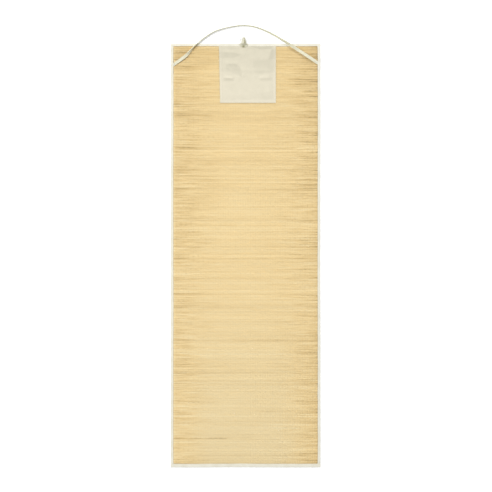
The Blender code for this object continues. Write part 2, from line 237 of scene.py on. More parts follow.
def color_ramp(tree, value, stops):
    ramp = tree.nodes.new("ShaderNodeValToRGB")
    elements = ramp.color_ramp.elements
    elements[0].position, elements[1].position = stops[0][0], stops[-1][0]
    elements[0].color, elements[1].color = (*stops[0][1], 1), (*stops[-1][1], 1)
    for position, color in stops[1:-1]:
        elements.new(position).color = (*color, 1)
    tree.links.new(value, ramp.inputs[0])
    return ramp.outputs[0]


def add_bump(tree, shader, height, distance):
    bump = add(tree, "ShaderNodeBump", {"Height": height, "Distance": distance})
    tree.links.new(bump, shader.inputs["Normal"])


# %% Straw
STRAW_COLORS = (
    # tone, colour
    (0.0, (0.40, 0.28, 0.12)),
    (0.25, (0.71, 0.525, 0.245)),
    (0.5, (0.88, 0.69, 0.365)),
    (0.75, (0.93, 0.785, 0.48)),
    (1.0, (0.95, 0.86, 0.61)),
)
FADED_STRAW = (0.76, 0.68, 0.46, 1.0)
FIBRES_PER_METRE = (60, 2600, 0)


def make_straw_finish():
    material, tree, shader = new_finish("straw", Specular_IOR_Level=0.45)
    place = object_place(tree)
    parts = add(tree, "ShaderNodeSeparateXYZ", {0: place}).node.outputs
    from_middle = calc(tree, "ABSOLUTE", parts["X"])
    drift = noise(tree, stretch(tree, parts["X"], 11.0, attribute(tree, "row"), 5.37))
    fine = add(tree, "ShaderNodeMapping", {"Vector": place, "Scale": FIBRES_PER_METRE})
    fibre = noise(tree, fine, Roughness=0.6)
    # the middle of the mat is calm, and the ends of the straws are more streaky
    streaks = scale_range(tree, from_middle, 0.06, 0.27, 0.32, 1.0)
    tone = vary(tree, fibre, 0.24, vary(tree, drift, streaks, attribute(tree, "tone")))
    color = color_ramp(tree, tone, STRAW_COLORS)
    # the middle of the foot end is faded
    fade = scale_range(tree, parts["Y"], -0.1, -0.85, 0.0, 0.32, smooth=False)
    fade = calc(tree, "MULTIPLY", fade, scale_range(tree, from_middle, 0.12, 0.27, 1.0, 0.0))
    color = add(tree, "ShaderNodeMix", {0: fade, 6: color, 7: FADED_STRAW}, out=2, data_type="RGBA")
    tree.links.new(color, shader.inputs["Base Color"])
    tree.links.new(scale_range(tree, fibre, 0.3, 0.7, 0.42, 0.62), shader.inputs["Roughness"])
    add_bump(tree, shader, fibre, 0.12 * MM)
    return material


STRAW = make_straw_finish()


# %% [markdown]
# Nonwoven cloth is a felt of fine plastic fibres, pressed together by hot rollers that leave a diamond grid
# of tiny dimples about a millimetre apart. The tapes and pocket lie flat, so the grid can follow the
# object's own X and Y. On the strap, which twists, it follows a UV map instead. Shade is painted on the
# cloth where an attribute says, a little darker: on the pocket where its creases shade it and towards its
# top, and on the strap where it stands on its edge.

# %% Nonwoven cloth
DIMPLE_PITCH = 1.15 * MM


def make_cloth_finish(name, color, dirt_and_shade, clouding=0.5, follow_map=False, **sockets):
    """Cloth between its clean colour and its darkest one, more unevenly with more clouding. Painted shade
    also takes it towards the darkest one.
    """
    material, tree, shader = new_finish(name, 0.78, Sheen_Weight=0.12, Specular_IOR_Level=0.3, **sockets)
    place = add(tree, "ShaderNodeUVMap", uv_map="cloth") if follow_map else object_place(tree)
    pace = 2 * math.pi / DIMPLE_PITCH / math.sqrt(2)
    turned = {"Vector": place, "Rotation": (0, 0, math.pi / 4), "Scale": (pace, pace, pace)}
    parts = add(tree, "ShaderNodeSeparateXYZ", {0: add(tree, "ShaderNodeMapping", turned)}).node.outputs
    dimple = calc(tree, "MULTIPLY", calc(tree, "SINE", parts["X"]), calc(tree, "SINE", parts["Y"]))
    dimple = scale_range(tree, calc(tree, "ABSOLUTE", dimple), 0.25, 0.8)
    fibres = noise(tree, place, 1500.0, 3.0, Distortion=1.5)
    clouds = noise(tree, place, 38.0, 3.0)
    shade = vary(tree, fibres, 0.35, vary(tree, clouds, clouding, 0.5))
    shade = calc(tree, "MULTIPLY_ADD", dimple, -0.10, shade)
    # painted shade: darker where the attribute on the points says
    shade = calc(tree, "MULTIPLY_ADD", attribute(tree, "painted_shade"), -0.20, shade)
    base = color_ramp(tree, shade, ((0.05, dirt_and_shade), (0.55, color)))
    tree.links.new(base, shader.inputs["Base Color"])
    height = calc(tree, "MULTIPLY_ADD", dimple, -0.7, calc(tree, "MULTIPLY", fibres, 0.5))
    add_bump(tree, shader, height, 0.10 * MM)
    return material


# %% Cloth and thread
def make_plain_finish(name, color, roughness, **sockets):
    material, _, shader = new_finish(name, roughness, **sockets)
    shader.inputs["Base Color"].default_value = (*color, 1)
    return material


TAPE_CLOTH = make_cloth_finish("tape_cloth", (0.80, 0.775, 0.665), (0.62, 0.57, 0.42))
POCKET_CLOTH = make_cloth_finish("pocket_cloth", (0.745, 0.69, 0.545), (0.56, 0.525, 0.41), clouding=0.2)
# light shines through the strap a little where it stands free of the straw
LET_THROUGH = {"Subsurface_Weight": 0.5, "Subsurface_Radius": (1.0, 0.95, 0.75), "Subsurface_Scale": 3 * MM}
STRAP_CLOTH = make_cloth_finish("strap_cloth", (0.79, 0.76, 0.59), (0.55, 0.55, 0.41), clouding=0.4,
                                follow_map=True, **LET_THROUGH)
THREAD = make_plain_finish("sewing_thread", (0.80, 0.77, 0.67), 0.6)
WARP_THREAD = make_plain_finish("warp_thread", (0.74, 0.64, 0.42), 0.7)
for finish in (STRAW, TAPE_CLOTH, POCKET_CLOTH, STRAP_CLOTH, THREAD, WARP_THREAD):
    print("finish", finish.name)


# %% [markdown]
# ## The weave
#
# The mat is a plain weave: about 740 straws lie side by side across it, and some sixty thin threads
# run along it, each going over one straw and under the next. Both follow a rule, so Geometry Nodes
# make them. Each straw is a line with one point at every thread. The point is lifted where the
# thread dips under it and pressed down where the thread crosses over, and the neighbour straw does
# the opposite. A slow noise bends all the lines together, as in a mat that has been rolled up. The
# threads follow the same rule the other way round, so both trees share the same steps. A tree has
# its sizes as named inputs, and `grow` runs it once and keeps the result as a plain mesh.

# %% Sizes of the weave
STRAW_PITCH = 2.3 * MM
STRAW_WIDTH = 2.9 * MM
STRAW_DEPTH = 1.45 * MM
STRAW_LIFT = 0.35 * MM
MIDDLE = 1.30 * MM
IN_TAPE_RISE = 0.55 * MM
RISE_RUN = 6 * MM
WARP_COUNT = 60
WARP_RADIUS = 0.24 * MM
STRAW_DRIFT = 0.9 * MM
HELD_STRIP = 30 * MM
WEAVE_HALF_WIDTH = HALF_WIDTH - 1.6 * MM
WEAVE_HALF_LENGTH = HALF_LENGTH - 1.8 * MM
WARP_PITCH = 2 * WEAVE_HALF_WIDTH / WARP_COUNT
STRAW_COUNT = int(2 * WEAVE_HALF_LENGTH / STRAW_PITCH)
FIRST_STRAW_Y = STRAW_PITCH / 2 - STRAW_COUNT * STRAW_PITCH / 2
print("straws", STRAW_COUNT, "threads", WARP_COUNT - 1)


# %% Helpers for geometry trees
def new_geometry_tree(name, inputs):
    """A geometry tree with named inputs. Gives the tree and its input sockets by name."""
    tree = bpy.data.node_groups.new(name, "GeometryNodeTree")
    tree.interface.new_socket("Geometry", in_out="INPUT", socket_type="NodeSocketGeometry")
    tree.interface.new_socket("Geometry", in_out="OUTPUT", socket_type="NodeSocketGeometry")
    kinds = {int: "NodeSocketInt", float: "NodeSocketFloat"}
    for label, value in inputs.items():
        socket = tree.interface.new_socket(label, in_out="INPUT", socket_type=kinds[type(value)])
        socket.default_value = value
    return tree, tree.nodes.new("NodeGroupInput").outputs


def close_tree(tree, geometry, material):
    """Every tree ends by making its copies real and giving them their material."""
    real = add(tree, "GeometryNodeRealizeInstances", {"Geometry": geometry})
    smooth = add(tree, "GeometryNodeSetShadeSmooth", {"Geometry": real})
    done = add(tree, "GeometryNodeSetMaterial", {"Geometry": smooth, "Material": material})
    tree.links.new(done, tree.nodes.new("NodeGroupOutput").inputs[0])


def grow(name, tree, values=None, mesh=None):
    """Runs a geometry tree once and keeps its result as a plain mesh."""
    holder = bpy.data.objects.new(name, mesh or bpy.data.meshes.new(name))
    bpy.context.scene.collection.objects.link(holder)
    modifier = holder.modifiers.new("grow", "NODES")
    modifier.node_group = tree
    for item in tree.interface.items_tree:
        if item.in_out == "INPUT" and values and item.name in values:
            modifier[item.identifier] = values[item.name]
    ready = holder.evaluated_get(bpy.context.evaluated_depsgraph_get())
    made = bpy.data.meshes.new_from_object(ready)
    holder.modifiers.remove(modifier)
    holder.data = made
    made.name = name
    print(name, len(made.vertices), "points", len(made.polygons), "faces")
    return holder


# %% Steps that both trees of the weave share
def straw_bend(tree, x, y):
    """The same slow sideways drift for straws and threads, which the end tapes hold still."""
    slow = noise(tree, stretch(tree, x, 2.4, y, 4.0), detail=1.0)
    end = WEAVE_HALF_LENGTH
    held = scale_range(tree, calc(tree, "ABSOLUTE", y), end - HELD_STRIP, end, 1.0, 0.0)
    return calc(tree, "MULTIPLY", vary(tree, slow, STRAW_DRIFT, 0.0), held)


def weave_middle(tree, x, y):
    """Height of the weave's middle, which rises where the sheet goes into the tapes."""
    side_lip, head_lip = HALF_WIDTH - TAPE_COVER, HALF_LENGTH - TAPE_COVER
    foot_lip = FOOT_COVER - HALF_LENGTH
    side = scale_range(tree, calc(tree, "ABSOLUTE", x), side_lip - RISE_RUN, side_lip)
    head = scale_range(tree, y, head_lip - RISE_RUN, head_lip)
    foot = scale_range(tree, y, foot_lip + RISE_RUN, foot_lip)
    rise = calc(tree, "MAXIMUM", side, calc(tree, "MAXIMUM", head, foot))
    return calc(tree, "MULTIPLY_ADD", rise, IN_TAPE_RISE, MIDDLE)


def lay_lines(tree, starts, start, end, count):
    """Lays a copy of one straight line, with `count` points on it, at each of the starts."""
    line = add(tree, "GeometryNodeCurvePrimitiveLine", {"Start": start, "End": end})
    line = add(tree, "GeometryNodeResampleCurve", {"Curve": line, "Count": count}, mode="COUNT")
    copies = add(tree, "GeometryNodeInstanceOnPoints", {"Points": starts, "Instance": line})
    return add(tree, "GeometryNodeRealizeInstances", {"Geometry": copies})


def weave_lines(tree, lines, row, column, lift):
    """Lifts every second point of the lines, lowers the others, and bends all with the mat."""
    odd = calc(tree, "MODULO", calc(tree, "ADD", row, column), 2.0)
    up = calc(tree, "MULTIPLY_ADD", odd, 2.0, -1.0)
    spot = add(tree, "ShaderNodeSeparateXYZ", {0: add(tree, "GeometryNodeInputPosition")}).node.outputs
    height = calc(tree, "MULTIPLY_ADD", up, lift, weave_middle(tree, spot["X"], spot["Y"]))
    offset = add(tree, "ShaderNodeCombineXYZ", {"Y": straw_bend(tree, spot["X"], spot["Y"]), "Z": height})
    return add(tree, "GeometryNodeSetPosition", {"Geometry": lines, "Offset": offset})


# %% The tree of the straws
def make_straw_tree():
    sizes = {"Straw pitch": STRAW_PITCH, "Straw width": STRAW_WIDTH}
    sizes.update({"Straw depth": STRAW_DEPTH, "Lift": STRAW_LIFT})
    tree, given = new_geometry_tree("straws", {"First straw": 0, "Straws": 10, **sizes, "Seed": 7})
    number = calc(tree, "ADD", add(tree, "GeometryNodeInputIndex"), given["First straw"])
    start_y = calc(tree, "MULTIPLY_ADD", number, given["Straw pitch"], FIRST_STRAW_Y)
    start = add(tree, "ShaderNodeCombineXYZ", {"Y": start_y})
    starts = add(tree, "GeometryNodePoints", {"Count": given["Straws"], "Position": start})
    left_end, right_end = (-WEAVE_HALF_WIDTH, 0, 0), (WEAVE_HALF_WIDTH, 0, 0)
    lines = lay_lines(tree, starts, left_end, right_end, WARP_COUNT + 1)
    # the point's number tells which straw it belongs to and which thread crosses it
    index = add(tree, "GeometryNodeInputIndex")
    row = calc(tree, "FLOOR", calc(tree, "DIVIDE", index, WARP_COUNT + 1.0))
    row = calc(tree, "ADD", row, given["First straw"])
    column = calc(tree, "MODULO", index, WARP_COUNT + 1.0)
    lines = add(tree, "GeometryNodeStoreNamedAttribute", {"Geometry": lines, "Name": "row", "Value": row},
                data_type="FLOAT", domain="POINT")
    lines = weave_lines(tree, lines, row, column, given["Lift"])
    lines = add(tree, "GeometryNodeSetCurveNormal", {"Curve": lines}, mode="Z_UP")
    # some straws are thinner than others
    size = add(tree, "FunctionNodeRandomValue", {2: 0.84, 3: 1.10, "ID": row, "Seed": given["Seed"]},
               out=1, data_type="FLOAT")
    section = {"X": given["Straw width"], "Y": given["Straw depth"], "Z": 1.0}
    ring = add(tree, "GeometryNodeCurvePrimitiveCircle", {"Resolution": 4, "Radius": 0.5})
    ring = add(tree, "GeometryNodeTransform",
               {"Geometry": ring, "Scale": add(tree, "ShaderNodeCombineXYZ", section)})
    skin = {"Curve": lines, "Profile Curve": ring, "Scale": size, "Fill Caps": True}
    close_tree(tree, add(tree, "GeometryNodeCurveToMesh", skin), STRAW)
    return tree


# %% The tree of the threads
def make_warp_tree():
    sizes = {"Straw pitch": STRAW_PITCH, "Thread pitch": WARP_PITCH, "Thread radius": WARP_RADIUS}
    tree, given = new_geometry_tree("warp threads", {"First straw": 0, "Straws": 10, **sizes})
    number = calc(tree, "ADD", add(tree, "GeometryNodeInputIndex"), 1.0)
    start_x = calc(tree, "MULTIPLY_ADD", number, given["Thread pitch"], -WEAVE_HALF_WIDTH)
    start_y = calc(tree, "MULTIPLY_ADD", given["First straw"], given["Straw pitch"], FIRST_STRAW_Y)
    start = add(tree, "ShaderNodeCombineXYZ", {"X": start_x, "Y": start_y})
    starts = add(tree, "GeometryNodePoints", {"Count": WARP_COUNT - 1, "Position": start})
    crossings = given["Straws"]
    reach = calc(tree, "MULTIPLY", calc(tree, "SUBTRACT", crossings, 1.0), given["Straw pitch"])
    lines = lay_lines(tree, starts, (0, 0, 0), add(tree, "ShaderNodeCombineXYZ", {"Y": reach}), crossings)
    index = add(tree, "GeometryNodeInputIndex")
    row = calc(tree, "ADD", calc(tree, "MODULO", index, crossings), given["First straw"])
    column = calc(tree, "ADD", calc(tree, "FLOOR", calc(tree, "DIVIDE", index, crossings)), 1.0)
    # a thread dips where its straw is lifted, and touches the straw's skin
    touching = calc(tree, "SUBTRACT", STRAW_LIFT - STRAW_DEPTH / 2, given["Thread radius"])
    lines = weave_lines(tree, lines, row, column, touching)
    round_thread = {"Resolution": 3, "Radius": given["Thread radius"]}
    ring = add(tree, "GeometryNodeCurvePrimitiveCircle", round_thread)
    skin = {"Curve": lines, "Profile Curve": ring, "Fill Caps": True}
    close_tree(tree, add(tree, "GeometryNodeCurveToMesh", skin), WARP_THREAD)
    return tree


# %% Grow the straws and threads
straw_tree = make_straw_tree()
foot_straws = STRAW_COUNT // 2
head_straws = STRAW_COUNT - foot_straws
straws = {
    "foot": grow("straws_foot_half", straw_tree, {"First straw": 0, "Straws": foot_straws}),
    "head": grow("straws_head_half", straw_tree, {"First straw": foot_straws, "Straws": head_straws}),
}
warp_tree = make_warp_tree()
threads = {
    "foot": grow("warp_threads_foot_half", warp_tree, {"First straw": 0, "Straws": foot_straws + 1}),
    "head": grow("warp_threads_head_half", warp_tree, {"First straw": foot_straws, "Straws": head_straws}),
}

# %% [markdown]
# ### The tone of each straw
#
# Straws come from the field in every shade from cream to tan. Each one gets its own random tone.
# Along the mat the tones drift in soft bands, and the ends near the two sides are darker and more uneven.
# Some long stalks are plainly browner or paler; those are listed in a short table.
# Beside the foot and right tapes a painted shadow darkens the straw, and beside the head and left tapes
# painted light makes it paler; across the mat, painted shade darkens it towards the right. `hills` is a
# smooth random surface made of a few sine waves; with a fixed seed it is the same on every run.

# %% Helpers for values on points
def store(piece, name, values):
    """Keeps one number for each point, which a finish reads by its name."""
    layer = piece.data.attributes.new(name, "FLOAT", "POINT")
    layer.data.foreach_set("value", np.asarray(values, np.float32))


def hills(x, y, size, seed, waves=8):
    """Smooth random hills about `size` metres apart, mostly from -1 to 1."""
    rng = np.random.default_rng(seed)
    total = np.zeros(np.broadcast(x, y).shape)
    for _ in range(waves):
        angle = rng.uniform(0, 2 * math.pi)
        pace = 2 * math.pi / size * rng.uniform(0.6, 1.4)
        shift = rng.uniform(0, 2 * math.pi)
        total = total + np.sin(pace * (x * math.cos(angle) + y * math.sin(angle)) + shift)
    return total / math.sqrt(waves)


def ease(value):
    """A soft step: 0 below 0, 1 above 1, and a smooth rise between."""
    value = np.clip(value, 0.0, 1.0)
    return value * value * (3 - 2 * value)


# %% Tables of straw tones
PLACED_STALKS = (
    # y of the straw, from x, to x in millimetres, how much darker, or paler where it is negative
    (429, -290, 222, 0.16),
    (-476, -290, 290, 0.13),
    (-679, -240, 120, 0.12),
    (-737, -320, -60, 0.34),
    (-735, -160, 40, 0.14),
    (-630, 42, 139, 0.14),
    (-588, 179, 310, 0.16),
    (-608, 200, 310, 0.12),
    (-683, -310, -120, -0.12),
    (-683, 42, 275, -0.12),
    (-741, -120, 150, 0.12),
    (706, 150, 290, 0.16),
    (655, 215, 290, 0.20),
    (560, -290, -120, 0.12),
    (262, 40, 290, 0.10),
    (118, -290, -30, 0.10),
    (-60, 90, 290, 0.12),
    (-212, -290, 60, 0.10),
    (-345, -60, 290, 0.10),
    (-590, -290, -90, 0.12),
    (-806, -200, 260, 0.14),
)
TAPE_SHADOW_AND_LIGHT = (
    # edge, how much paler painted light makes the straw at the tape, or darker with painted shadow where it
    # is negative, how far that reaches
    ("foot", -0.18, 9 * MM),
    ("right", -0.10, 5 * MM),
    ("head", 0.16, 4 * MM),
    ("left", 0.16, 3 * MM),
)
MIDDLE_TONE = 0.53
OWN_TONE = 0.024
STALK_FADE = 30
print("stalks placed by hand", len(PLACED_STALKS))


# %% Tone by place
def read_straws(piece):
    """The place of each point, and the number of the straw that it belongs to."""
    mesh = piece.data
    place = np.empty(len(mesh.vertices) * 3, np.float32)
    mesh.vertices.foreach_get("co", place)
    row = np.empty(len(mesh.vertices), np.float32)
    mesh.attributes["row"].data.foreach_get("value", row)
    return place.reshape(-1, 3), np.round(row).astype(int)


def place_tone(x, y):
    """The part of the tone that follows the place on the mat alone, painted shade and light among it. All
    lengths are metres.
    """
    # painted shade: from side to side it is palest a little left of the middle, and darkest at the right
    tone = -0.05 * (x / HALF_WIDTH) ** 2 - 0.04 * x / HALF_WIDTH
    # the straw is darker towards the head, and most of all along the left side there
    left = ease((-0.02 - x) / 0.22)
    tone -= 0.055 * y + left * (0.04 + 0.05 * ease((y + 0.5) / 1.1)) + 0.04 * ease((y - 0.7) / 0.12)
    # so are the two ends of the right side, and the last straws at the foot
    tone -= 0.05 * ease((x - 0.15) / 0.1) * ease((abs(y) - 0.35) / 0.2)
    tone -= 0.07 * ease((-0.78 - y) / 0.05)
    from_lip = {
        "left": x + HALF_WIDTH - TAPE_COVER,
        "right": HALF_WIDTH - TAPE_COVER - x,
        "head": HALF_LENGTH - TAPE_COVER - y,
        "foot": y + HALF_LENGTH - FOOT_COVER,
    }
    # painted shadow beside the foot and right tapes, and painted light beside the head and left tapes
    for edge, paler, reach in TAPE_SHADOW_AND_LIGHT:
        tone += paler * np.exp(-from_lip[edge] / reach)
    return tone


# %% Tint the straws
def tint_straws(piece):
    place, row = read_straws(piece)
    x, y, _ = place.T.astype(float)
    rng = np.random.default_rng(41)
    own = rng.normal(0.0, OWN_TONE, STRAW_COUNT)
    own += rng.choice([0.0, -0.06, 0.09], STRAW_COUNT, p=[0.84, 0.07, 0.09])
    ragged = rng.uniform(-1.0, 1.0, (STRAW_COUNT, 2))
    tone = MIDDLE_TONE + own[row] + place_tone(x, y)
    tone += 0.012 * hills(x * 0.15, y, 0.09, 11) + 0.016 * hills(x, y * 3, 0.5, 12)
    # the last 13 cm at both ends of a straw are uneven
    for side, column in ((-1, 0), (1, 1)):
        at_side = ease((side * x - 0.17) / 0.12)
        tone += at_side * (-0.03 + 0.13 * ragged[row, column])
    for line_y, low, high, darker in PLACED_STALKS:
        straw = int(round((line_y * MM / STRAW_PITCH) + STRAW_COUNT / 2))
        inside = ease((x / MM - low) / STALK_FADE) * ease((high - x / MM) / STALK_FADE)
        tone -= darker * inside * np.isin(row, (straw, straw + 1))
    store(piece, "tone", np.clip(tone, 0.05, 0.97))
    print(piece.name, "tone", round(float(tone.mean()), 3), "spread", round(float(tone.std()), 3))


for half in straws.values():
    tint_straws(half)


# %% Map the straws
def map_straws(piece):
    """A map seen from above, with every straw on a line of its own, so that its colour can be baked."""
    place, row = read_straws(piece)
    first = row.min()
    lines = row.max() - first + 1
    # a ring of the straw has four points, and the middle of those is its centre line
    centre = place[:, 1].reshape(-1, 4).mean(1).repeat(4)
    side = np.clip((place[:, 1] - centre) / (STRAW_WIDTH * 0.55), -1, 1)
    u = np.clip(place[:, 0] / (2 * HALF_WIDTH) + 0.5, 0.001, 0.999)
    v = (row - first + 0.5 + 0.4 * side) / lines
    mesh = piece.data
    corner = np.empty(len(mesh.loops), np.int32)
    mesh.loops.foreach_get("vertex_index", corner)
    layer = mesh.uv_layers.new(name="OFBake")
    layer.data.foreach_set("uv", np.stack([u, v], 1)[corner].astype(np.float32).ravel())
    print(piece.name, "map with", lines, "lines")


for half in straws.values():
    map_straws(half)


# %% [markdown]
# ## Edge tapes
#
# Each raw edge of the straw is wrapped in a strip of cloth, folded in half along its length and
# sewn through. Each sewn edge sways slightly, in a few slow waves. The strip is lofted: one thin
# U-shaped section after another stands along the edge, and `loft` joins them into a closed skin. The
# strap and the valve are made with it too. The seam pulls the cloth down at every needle hole, and
# the free lip inside the seam wavers a little.

# %% Sizes of the tapes
TAPE_CLOTH_THICK = 0.5 * MM
FOLD_RADIUS = 1.35 * MM
LIP_POINT = 17
STITCH_PITCH = 4 * MM
SEAM_FROM_LIP = 2.6 * MM
SEAM_DEPTH = 0.28 * MM
STRAP_ENDS = {"left": 760.3 * MM, "right": 767.9 * MM}
STRAP_CLEAR = 1.85 * MM
STRAP_CLEAR_HALF, STRAP_CLEAR_SLOPE = 17 * MM, 16 * MM
POCKET_LEFT, POCKET_RIGHT = -106.5 * MM, 122 * MM
POCKET_CLEAR = 0.3 * MM
POCKET_SLOPE = 8 * MM
SIDE_TUCK = 2.5 * MM
END_PROUD = 0.2 * MM
MAP_LINE = 0.22
print("stitches are", round(STITCH_PITCH / MM, 1), "mm apart")


# %% Helpers for a loft
def loft_faces(rows, count):
    """Quads between rings that lie one after the other, with a flat cap at each end."""
    faces = []
    for r in range(rows - 1):
        for i in range(count):
            j = (i + 1) % count
            faces.append((r * count + i, r * count + j, (r + 1) * count + j, (r + 1) * count + i))
    last = (rows - 1) * count
    faces.append(tuple(range(count - 1, -1, -1)))
    faces.append(tuple(range(last, last + count)))
    return faces


def face_out(piece):
    """Turns all faces of a closed piece outwards."""
    shape = bmesh.new()
    shape.from_mesh(piece.data)
    bmesh.ops.recalc_face_normals(shape, faces=shape.faces)
    shape.to_mesh(piece.data)
    shape.free()


def loft(name, rings, sharp, material):
    """A closed skin over rings of points. Edges that bend by more than `sharp` degrees stay sharp."""
    rings = np.asarray(rings, float)
    piece = add_mesh(name, rings.reshape(-1, 3), loft_faces(len(rings), len(rings[0])))
    face_out(piece)
    piece.data.set_sharp_from_angle(angle=math.radians(sharp))
    piece.data.materials.append(material)
    print(name, len(piece.data.polygons), "faces")
    return piece


# %% Where a tape sways and rises
EDGE_SWAY = 0.5 * MM
SWAY_WAVES = {"left": (4, 9), "right": (3, 8), "head": (2, 5), "foot": (3, 4)}


def sway(edge, along):
    """How far a sewn edge stands out from its straight line, as in the solids."""
    length = 2 * (HALF_LENGTH if edge in ("left", "right") else HALF_WIDTH)
    share = np.clip(along / length + 0.5, 0.0, 1.0)
    slow, quick = SWAY_WAVES[edge]
    return EDGE_SWAY * (0.65 * np.sin(slow * math.pi * share) + 0.35 * np.sin(quick * math.pi * share))


def tape_hump(edge, along):
    """How much a tape rises where it runs over an end of the strap, or over the top of the pocket."""
    if edge in STRAP_ENDS:
        away = abs(along - STRAP_ENDS[edge])
        return STRAP_CLEAR * (1.0 - ease((away - STRAP_CLEAR_HALF) / STRAP_CLEAR_SLOPE))
    if edge == "head":
        from_left, from_right = along - POCKET_LEFT, POCKET_RIGHT - along
        return POCKET_CLEAR * ease(from_left / POCKET_SLOPE) * ease(from_right / POCKET_SLOPE)
    return 0.0


def seam_pull(along):
    """Deepest at the needle holes and nothing half way between them."""
    return SEAM_DEPTH * 0.5 * (1 + math.cos(2 * math.pi * along / STITCH_PITCH))


# %% The section of a folded tape
def tape_path(cover, height, lip, pull):
    """Outside of the folded section as (distance in from the edge, height), from the lip below,
    round the fold, to the lip above. The seam pulls both sides in."""
    r = FOLD_RADIUS
    seam = cover - SEAM_FROM_LIP
    before, after = seam - 2 * MM, seam + 1.3 * MM
    turn = np.radians([0, 22, 45, 68, 90])
    below = [(r - r * math.sin(a), r - r * math.cos(a)) for a in turn]
    above = [(inward, height - up) for inward, up in reversed(below)]
    top = [(before, height - 0.15 * pull), (seam, height - pull)]
    top += [(after, height - 0.2 * pull), (cover, height + lip)]
    under = [(cover, 0.0), (after, 0.0), (seam, 0.7 * pull), (before, 0.0)]
    return np.array(under + below + above + top)


def tape_section(cover, height, lip, pull):
    """The closed ring of a folded strip: its outside, up to the upper lip at point LIP_POINT, then
    back along its inside with half as many points."""
    line = tape_path(cover, height, lip, pull)
    run = np.gradient(line, axis=0)
    run /= np.linalg.norm(run, axis=1, keepdims=True)
    inside = line + np.stack([run[:, 1], -run[:, 0]], 1) * TAPE_CLOTH_THICK
    return np.concatenate([line, inside[LIP_POINT - 1 :: -2]])


def stand_up(edge, along, section, drawn_in=0.0):
    """Places a section at one station of an edge, moved inwards by `drawn_in`."""
    inward, up = section[:, 0], section[:, 1]
    out = float(sway(edge, along)) - drawn_in
    flat = np.full(len(section), along)
    if edge == "left":
        return np.stack([-HALF_WIDTH - out + inward, flat, up], 1)
    if edge == "right":
        return np.stack([HALF_WIDTH + out - inward, flat, up], 1)
    if edge == "head":
        return np.stack([flat, HALF_LENGTH + out - inward, up], 1)
    return np.stack([flat, -HALF_LENGTH - out + inward, up], 1)


# %% A map for a lofted strip
def ring_corners(mesh, around):
    """For each face of a loft, its corners as (loop, ring, place in the ring). On a face that closes
    the ring, the first place counts as one past the last, so that a map doesn't fold back."""
    for face in mesh.polygons:
        numbers = [mesh.loops[k].vertex_index for k in face.loop_indices]
        turns = [n % around for n in numbers]
        if max(turns) - min(turns) == around - 1 and len(numbers) == 4:
            turns = [turn or around for turn in turns]
        yield list(zip(face.loop_indices, [n // around for n in numbers], turns))


def map_strip(piece, stations, around):
    """Unrolls a lofted strip and cuts it into lines, like text on a page, so that it fills a square map."""
    line_count = max(1, math.ceil((stations[-1] - stations[0]) / MAP_LINE))
    per_line = math.ceil((len(stations) - 1) / line_count)
    line_count = math.ceil((len(stations) - 1) / per_line)
    layer = piece.data.uv_layers.new(name="OFBake")
    for corners in ring_corners(piece.data, around):
        line = min(min(row for _, row, _ in corners) // per_line, line_count - 1)
        for k, row, turn in corners:
            across = 0.04 + 0.92 * turn / around
            along = 0.005 + 0.99 * (row - line * per_line) / per_line
            layer.data[k].uv = (along, (line + across) / line_count)


# %% A turned-in end
def close_end(rings, edge, end, wall, cover, height):
    """The cloth is turned in at this end, so the open side of the fold gets a wall."""
    section = tape_section(cover, height, 0.0, 0.0)
    shut = section.copy()
    above = shut[LIP_POINT:, 1] > height / 2
    shut[LIP_POINT:, 1] = height / 2 + np.where(above, 0.04, -0.04) * MM
    blunt = (shut - [0, height / 2]) * [1, 0.86] + [0, height / 2]
    inner = [stand_up(edge, end - wall, section), stand_up(edge, end - 0.9 * wall, shut)]
    last = [stand_up(edge, end - 0.3 * wall, shut), stand_up(edge, end, blunt)]
    return rings + inner + last


# %% One tape
def make_tape(edge, start, end, cover, closed, seed):
    half_stitch = STITCH_PITCH / 2
    stations = np.arange(math.ceil(start / half_stitch) + 1, math.floor(end / half_stitch)) * half_stitch
    if not closed:
        stations = np.concatenate([[start], stations, [end]])
    rings = []
    for along in stations:
        to_end = min(along - start, end - along)
        near_end = 0.0 if closed else float(ease(1 - (to_end - 2 * MM) / (6 * MM)))
        hump = float(tape_hump(edge, along))
        wander = 0.25 * MM * float(hills(along, 3.0, 0.07, seed))
        lip = (0.14 * float(hills(along, 0.0, 0.045, seed)) + 0.1) * MM
        section = tape_section(cover + wander, TAPE_TOP + hump, lip, seam_pull(along))
        # a side tape gets flatter over its last 8 mm, where it goes under another tape
        section[:, 1] = TAPE_TOP / 2 + (section[:, 1] - TAPE_TOP / 2) * (1 - 0.34 * near_end)
        rings.append(stand_up(edge, along, section, 1.2 * MM * near_end))
    if closed:
        height = TAPE_TOP + float(tape_hump(edge, start))
        rings = close_end(rings, edge, end, TAPE_CLOTH_THICK, cover, height)
        rings = close_end(rings[::-1], edge, start, -TAPE_CLOTH_THICK, cover, height)[::-1]
        stations = np.array([ring[0, 0] for ring in rings])
    tape = loft(f"edge_tape_{edge}", rings, 60, TAPE_CLOTH)
    map_strip(tape, stations, len(rings[0]))
    return tape


# %% Loft the tapes
side_start = -HALF_LENGTH + FOOT_COVER - SIDE_TUCK
side_end = HALF_LENGTH - TAPE_COVER + SIDE_TUCK
TAPE_RUNS = {
    # from, to, cover, whether the ends are turned in, seed
    "left": (side_start, side_end, TAPE_COVER, False, 21),
    "right": (side_start, side_end, TAPE_COVER, False, 22),
    "head": (-HALF_WIDTH - END_PROUD, HALF_WIDTH + END_PROUD, TAPE_COVER, True, 23),
    "foot": (-HALF_WIDTH - END_PROUD, HALF_WIDTH + END_PROUD, FOOT_COVER, True, 24),
}
tapes = {edge: make_tape(edge, *run) for edge, run in TAPE_RUNS.items()}
